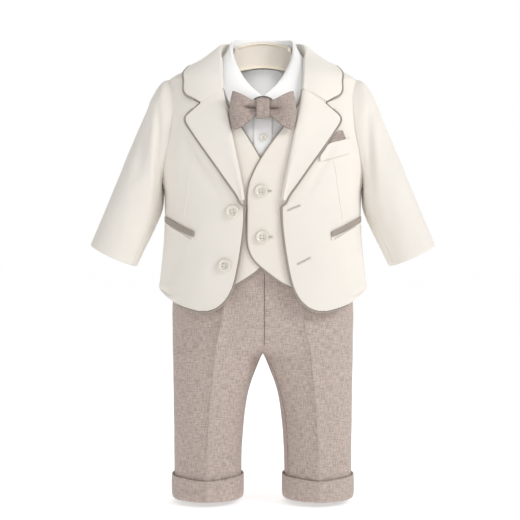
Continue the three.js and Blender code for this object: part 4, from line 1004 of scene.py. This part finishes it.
class SUIT_OT_shirt(bpy.types.Operator):
    """Makes the shirt, its collar and the band inside the neck"""

    bl_idname = "suit.shirt"
    bl_label = "Shirt"

    def execute(self, context):
        for node in [*both_sides("shirt_front"), "shirt_back", "shirt_placket"]:
            cloth(node, "shirt", *POPLIN)
        cloth("shirt_collar", "shirt", *POPLIN, levels=3)
        for side, lean in SLEEVE_LEANS.items():
            cloth("shirt_sleeve_" + side, "sleeve_" + side, *POPLIN, lean=lean)
        cloth("neck_band", "shirt", "beige_twill", "band_twill", levels=3)
        for node in ("neck_band_rim_top", "neck_band_rim_bottom"):
            cloth(node, "shirt", "cream_rib", "cream_rim", levels=3)
        return {"FINISHED"}


class SUIT_OT_bow_tie(bpy.types.Operator):
    """Makes the bow tie's wings and knot"""

    bl_idname = "suit.bow_tie"
    bl_label = "Bow tie"

    def execute(self, context):
        for node in both_sides("bow_wing"):
            cloth(node, "bow", *FINE_SHADED_LINEN, levels=3, rim_angle=BOW_RIM_ANGLE)
        cloth("bow_knot", "shirt", *FINE_SHADED_LINEN, levels=3)
        return {"FINISHED"}


class SUIT_OT_trousers(bpy.types.Operator):
    """Makes the trousers' legs, waistband and turn-ups"""

    bl_idname = "suit.trousers"
    bl_label = "Trousers"

    def execute(self, context):
        for node in both_sides("trouser_front"):
            cloth(node, "trousers", *SUIT_LINEN, levels=3, pressed=True)
        for node in both_sides("trouser_back"):
            cloth(node, "trousers", *SUIT_LINEN, pressed=True)
        cloth("trouser_waistband", "trousers", *SUIT_LINEN)
        for node in both_sides("turn_up"):
            cloth(node, "trousers", *SUIT_LINEN, levels=3, rim=TURN_UP_SHARPNESS)
        return {"FINISHED"}


class SUIT_OT_piping(bpy.types.Operator):
    """Makes the round piping on the jacket's and the waistcoat's edges"""

    bl_idname = "suit.piping"
    bl_label = "Piping"

    def execute(self, context):
        swell = sizes().piping_swell
        for node in ["collar_piping", *both_sides("jacket_piping")]:
            cloth(node, "jacket", *SATIN, rim=0, swell=swell)
        for node in both_sides("waistcoat_piping"):
            cloth(node, "waistcoat", *SATIN, rim=0, swell=swell * 0.8)
        return {"FINISHED"}


class SUIT_OT_buttons(bpy.types.Operator):
    """Makes the buttons with their thread"""

    bl_idname = "suit.buttons"
    bl_label = "Buttons"

    def execute(self, context):
        for node, button in BUTTONS.items():
            sew_button(node, button)
        return {"FINISHED"}


class SUIT_OT_sewing(bpy.types.Operator):
    """Sews the seams, darts, buttonholes, bow, fly, legs and the shirt's stitching"""

    bl_idname = "suit.sewing"
    bl_label = "Sewing"

    def close_jacket(self, side):
        sign = 1 if side == "left" else -1
        front = "jacket_front_" + side
        sleeves = [f"jacket_{part}_sleeve_{side}" for part in ("top", "under")]
        jacket_seam("armhole_front_" + side, front, sleeves)
        jacket_seam("armhole_back_" + side, "jacket_back", sleeves)
        jacket_seam("side_seam_" + side, front, ["jacket_back"], high=SIDE_SEAM_TOP)
        low, high = sorted(sign * x for x in SHOULDER_SEAM)
        jacket_seam("shoulder_seam_" + side, front, ["jacket_back"], 0, low, high)
        low, high = sorted(sign * x for x in GORGE_SEAM)
        pair = "jacket_lapel_" + side, ["jacket_collar"]
        jacket_seam("gorge_seam_" + side, *pair, 0, low, high, GORGE_RADIUS, GORGE_REACH)

    def execute(self, context):
        fronts = surface_of(*both_sides("jacket_front"))
        collars = surface_of("jacket_collar", *both_sides("jacket_lapel"), *both_sides("jacket_front"))
        wings = surface_of(*both_sides("bow_wing"), "bow_knot", "shirt_collar")
        waistcoat = surface_of("waistcoat_front_left")
        legs = surface_of(*both_sides("trouser_front"))
        seats = surface_of(*both_sides("trouser_back"))
        for half in ("left", "right"):
            self.close_jacket(half)
            sewn_ridge("notch_piping", collars, half)
        strap = [Vector(point) * MM for point in STRAP]
        # The strap's dark thread is partly the strap itself and partly painted shadow in the gap between the
        # collar and the knot
        threads("bow_strap", [through(strap)], STRAP_RADIUS, *LINEN_THREAD_AND_SHADOW)
        for name in both_sides("bow_pleat"):
            sewn_ridge(name, wings)
        for half in ("left", "right"):
            sewn_ridge("jacket_dart", fronts, half)
            hips = surface_of(*[f"{part}_{half}" for part in ("jacket_front", "hip_jet", "hip_welt")])
            sewn_ridge("hip_slit_shadow", hips, half)
            sewn_ridge("hip_edge", hips, half)
        for name, ends in BUTTONHOLES.items():
            buttonhole(name, fronts if name.startswith("jacket") else waistcoat, ends)
        sewn_ridge("fly_fold_shadow", legs)
        for half in ("left", "right"):
            sewn_ridge("pressed_edge", legs, half)
        stitches("fly_tacks", legs, FLY_TACKS, *LINEN_THREAD_AND_SHADOW)
        sewn_ridge("inner_leg_seam_left", legs)
        sewn_ridge("inner_leg_seam_right", seats, side=1)
        stitches("placket_stitches", surface_of("shirt_placket"), PLACKET_EDGES, *POPLIN)
        return {"FINISHED"}


class SUIT_OT_stage(bpy.types.Operator):
    """Sets the camera, the pale floor and the soft studio light"""

    bl_idname = "suit.stage"
    bl_label = "Stage"

    def execute(self, context):
        data = bpy.data.cameras.new("camera")
        data.sensor_width = SENSOR_WIDTH
        data.lens = SENSOR_WIDTH * -CAMERA_PLACE.y / (VIEW_WIDTH * MM)
        camera = in_scene("camera", data)
        camera.location = CAMERA_PLACE
        camera.rotation_euler = (math.pi / 2, 0, 0)
        context.scene.camera = camera
        self.floor()
        self.lights()
        self.surround(context)
        context.scene.view_settings.view_transform = "Standard"
        return {"FINISHED"}

    def floor(self):
        bm = bmesh.new()
        bmesh.ops.create_grid(
            bm, x_segments=2, y_segments=2, size=FLOOR_HALF_WIDTH,
            matrix=Matrix.Translation((0, 0, FLOOR_LEVEL * MM)))
        floor = in_scene("floor", mesh_of("floor", bm))
        material, _, shader = shaded("pale_floor")
        set_inputs(shader, Base_Color=(0.9, 0.9, 0.9, 1), Roughness=0.9)
        set_inputs(shader, Emission_Color=WHITE, Emission_Strength=FLOOR_GLOW)
        floor.data.materials.append(material)

    def lights(self):
        for name, lamp in LAMPS.items():
            light = bpy.data.lights.new(name, lamp.kind)
            if lamp.kind == "SPOT":
                light.energy = sizes().neck_light * lamp.share
                light.shadow_soft_size = lamp.size
                light.spot_size = math.radians(lamp.beam)
                light.spot_blend = 1
            else:
                light.energy = sizes().key_light * lamp.share
                light.size = lamp.size
            obj = in_scene(name, light)
            obj.location = lamp.place
            obj.rotation_euler = (Vector(lamp.aim) - obj.location).to_track_quat("-Z", "Y").to_euler()

    def surround(self, context):
        world = bpy.data.worlds.new("surround")
        world.use_nodes = True
        tree = world.node_tree
        even = tree.nodes["Background"]
        seen = tree.nodes.new("ShaderNodeBackground")
        set_inputs(even, Color=WHITE, Strength=sizes().surround)
        set_inputs(seen, Color=WHITE, Strength=1.0)
        path = tree.nodes.new("ShaderNodeLightPath")
        mix = tree.nodes.new("ShaderNodeMixShader")
        sources = (path.outputs["Is Camera Ray"], even.outputs[0], seen.outputs[0])
        for source, target in zip(sources, mix.inputs):
            tree.links.new(source, target)
        tree.links.new(mix.outputs[0], tree.nodes["World Output"].inputs["Surface"])
        context.scene.world = world


class SUIT_OT_declare(bpy.types.Operator):
    """Does nothing"""

    bl_idname = "suit.declare_cloth"
    bl_label = "Declare cloth"

    def execute(self, context):
        return {"FINISHED"}


OPERATORS = (
    SUIT_OT_jacket,
    SUIT_OT_waistcoat,
    SUIT_OT_shirt,
    SUIT_OT_bow_tie,
    SUIT_OT_trousers,
    SUIT_OT_piping,
    SUIT_OT_buttons,
    SUIT_OT_sewing,
    SUIT_OT_declare,
    SUIT_OT_stage,
)


class SUIT_PT_sidebar(bpy.types.Panel):
    """Lists the suit's pieces, colours and sizes"""

    bl_idname = "SUIT_PT_sidebar"
    bl_label = "Christening Suit"
    bl_space_type = "VIEW_3D"
    bl_region_type = "UI"
    bl_category = "Suit"

    def draw(self, context):
        for operator in OPERATORS:
            self.layout.operator(operator.bl_idname)
        for group in (context.scene.suit_colours, context.scene.suit_sizes):
            for name in type(group).__annotations__:
                self.layout.prop(group, name)


CLASSES = (SuitColours, SuitSizes, *OPERATORS, SUIT_PT_sidebar)


def register():
    for cls in CLASSES:
        bpy.utils.register_class(cls)
    bpy.types.Scene.suit_colours = PointerProperty(type=SuitColours)
    bpy.types.Scene.suit_sizes = PointerProperty(type=SuitSizes)


def unregister():
    del bpy.types.Scene.suit_colours
    del bpy.types.Scene.suit_sizes
    for cls in reversed(CLASSES):
        bpy.utils.unregister_class(cls)


def main():
    register()
    for operator in OPERATORS:
        group, name = operator.bl_idname.split(".")
        getattr(getattr(bpy.ops, group), name)()


if __name__ == "__main__":
    main()
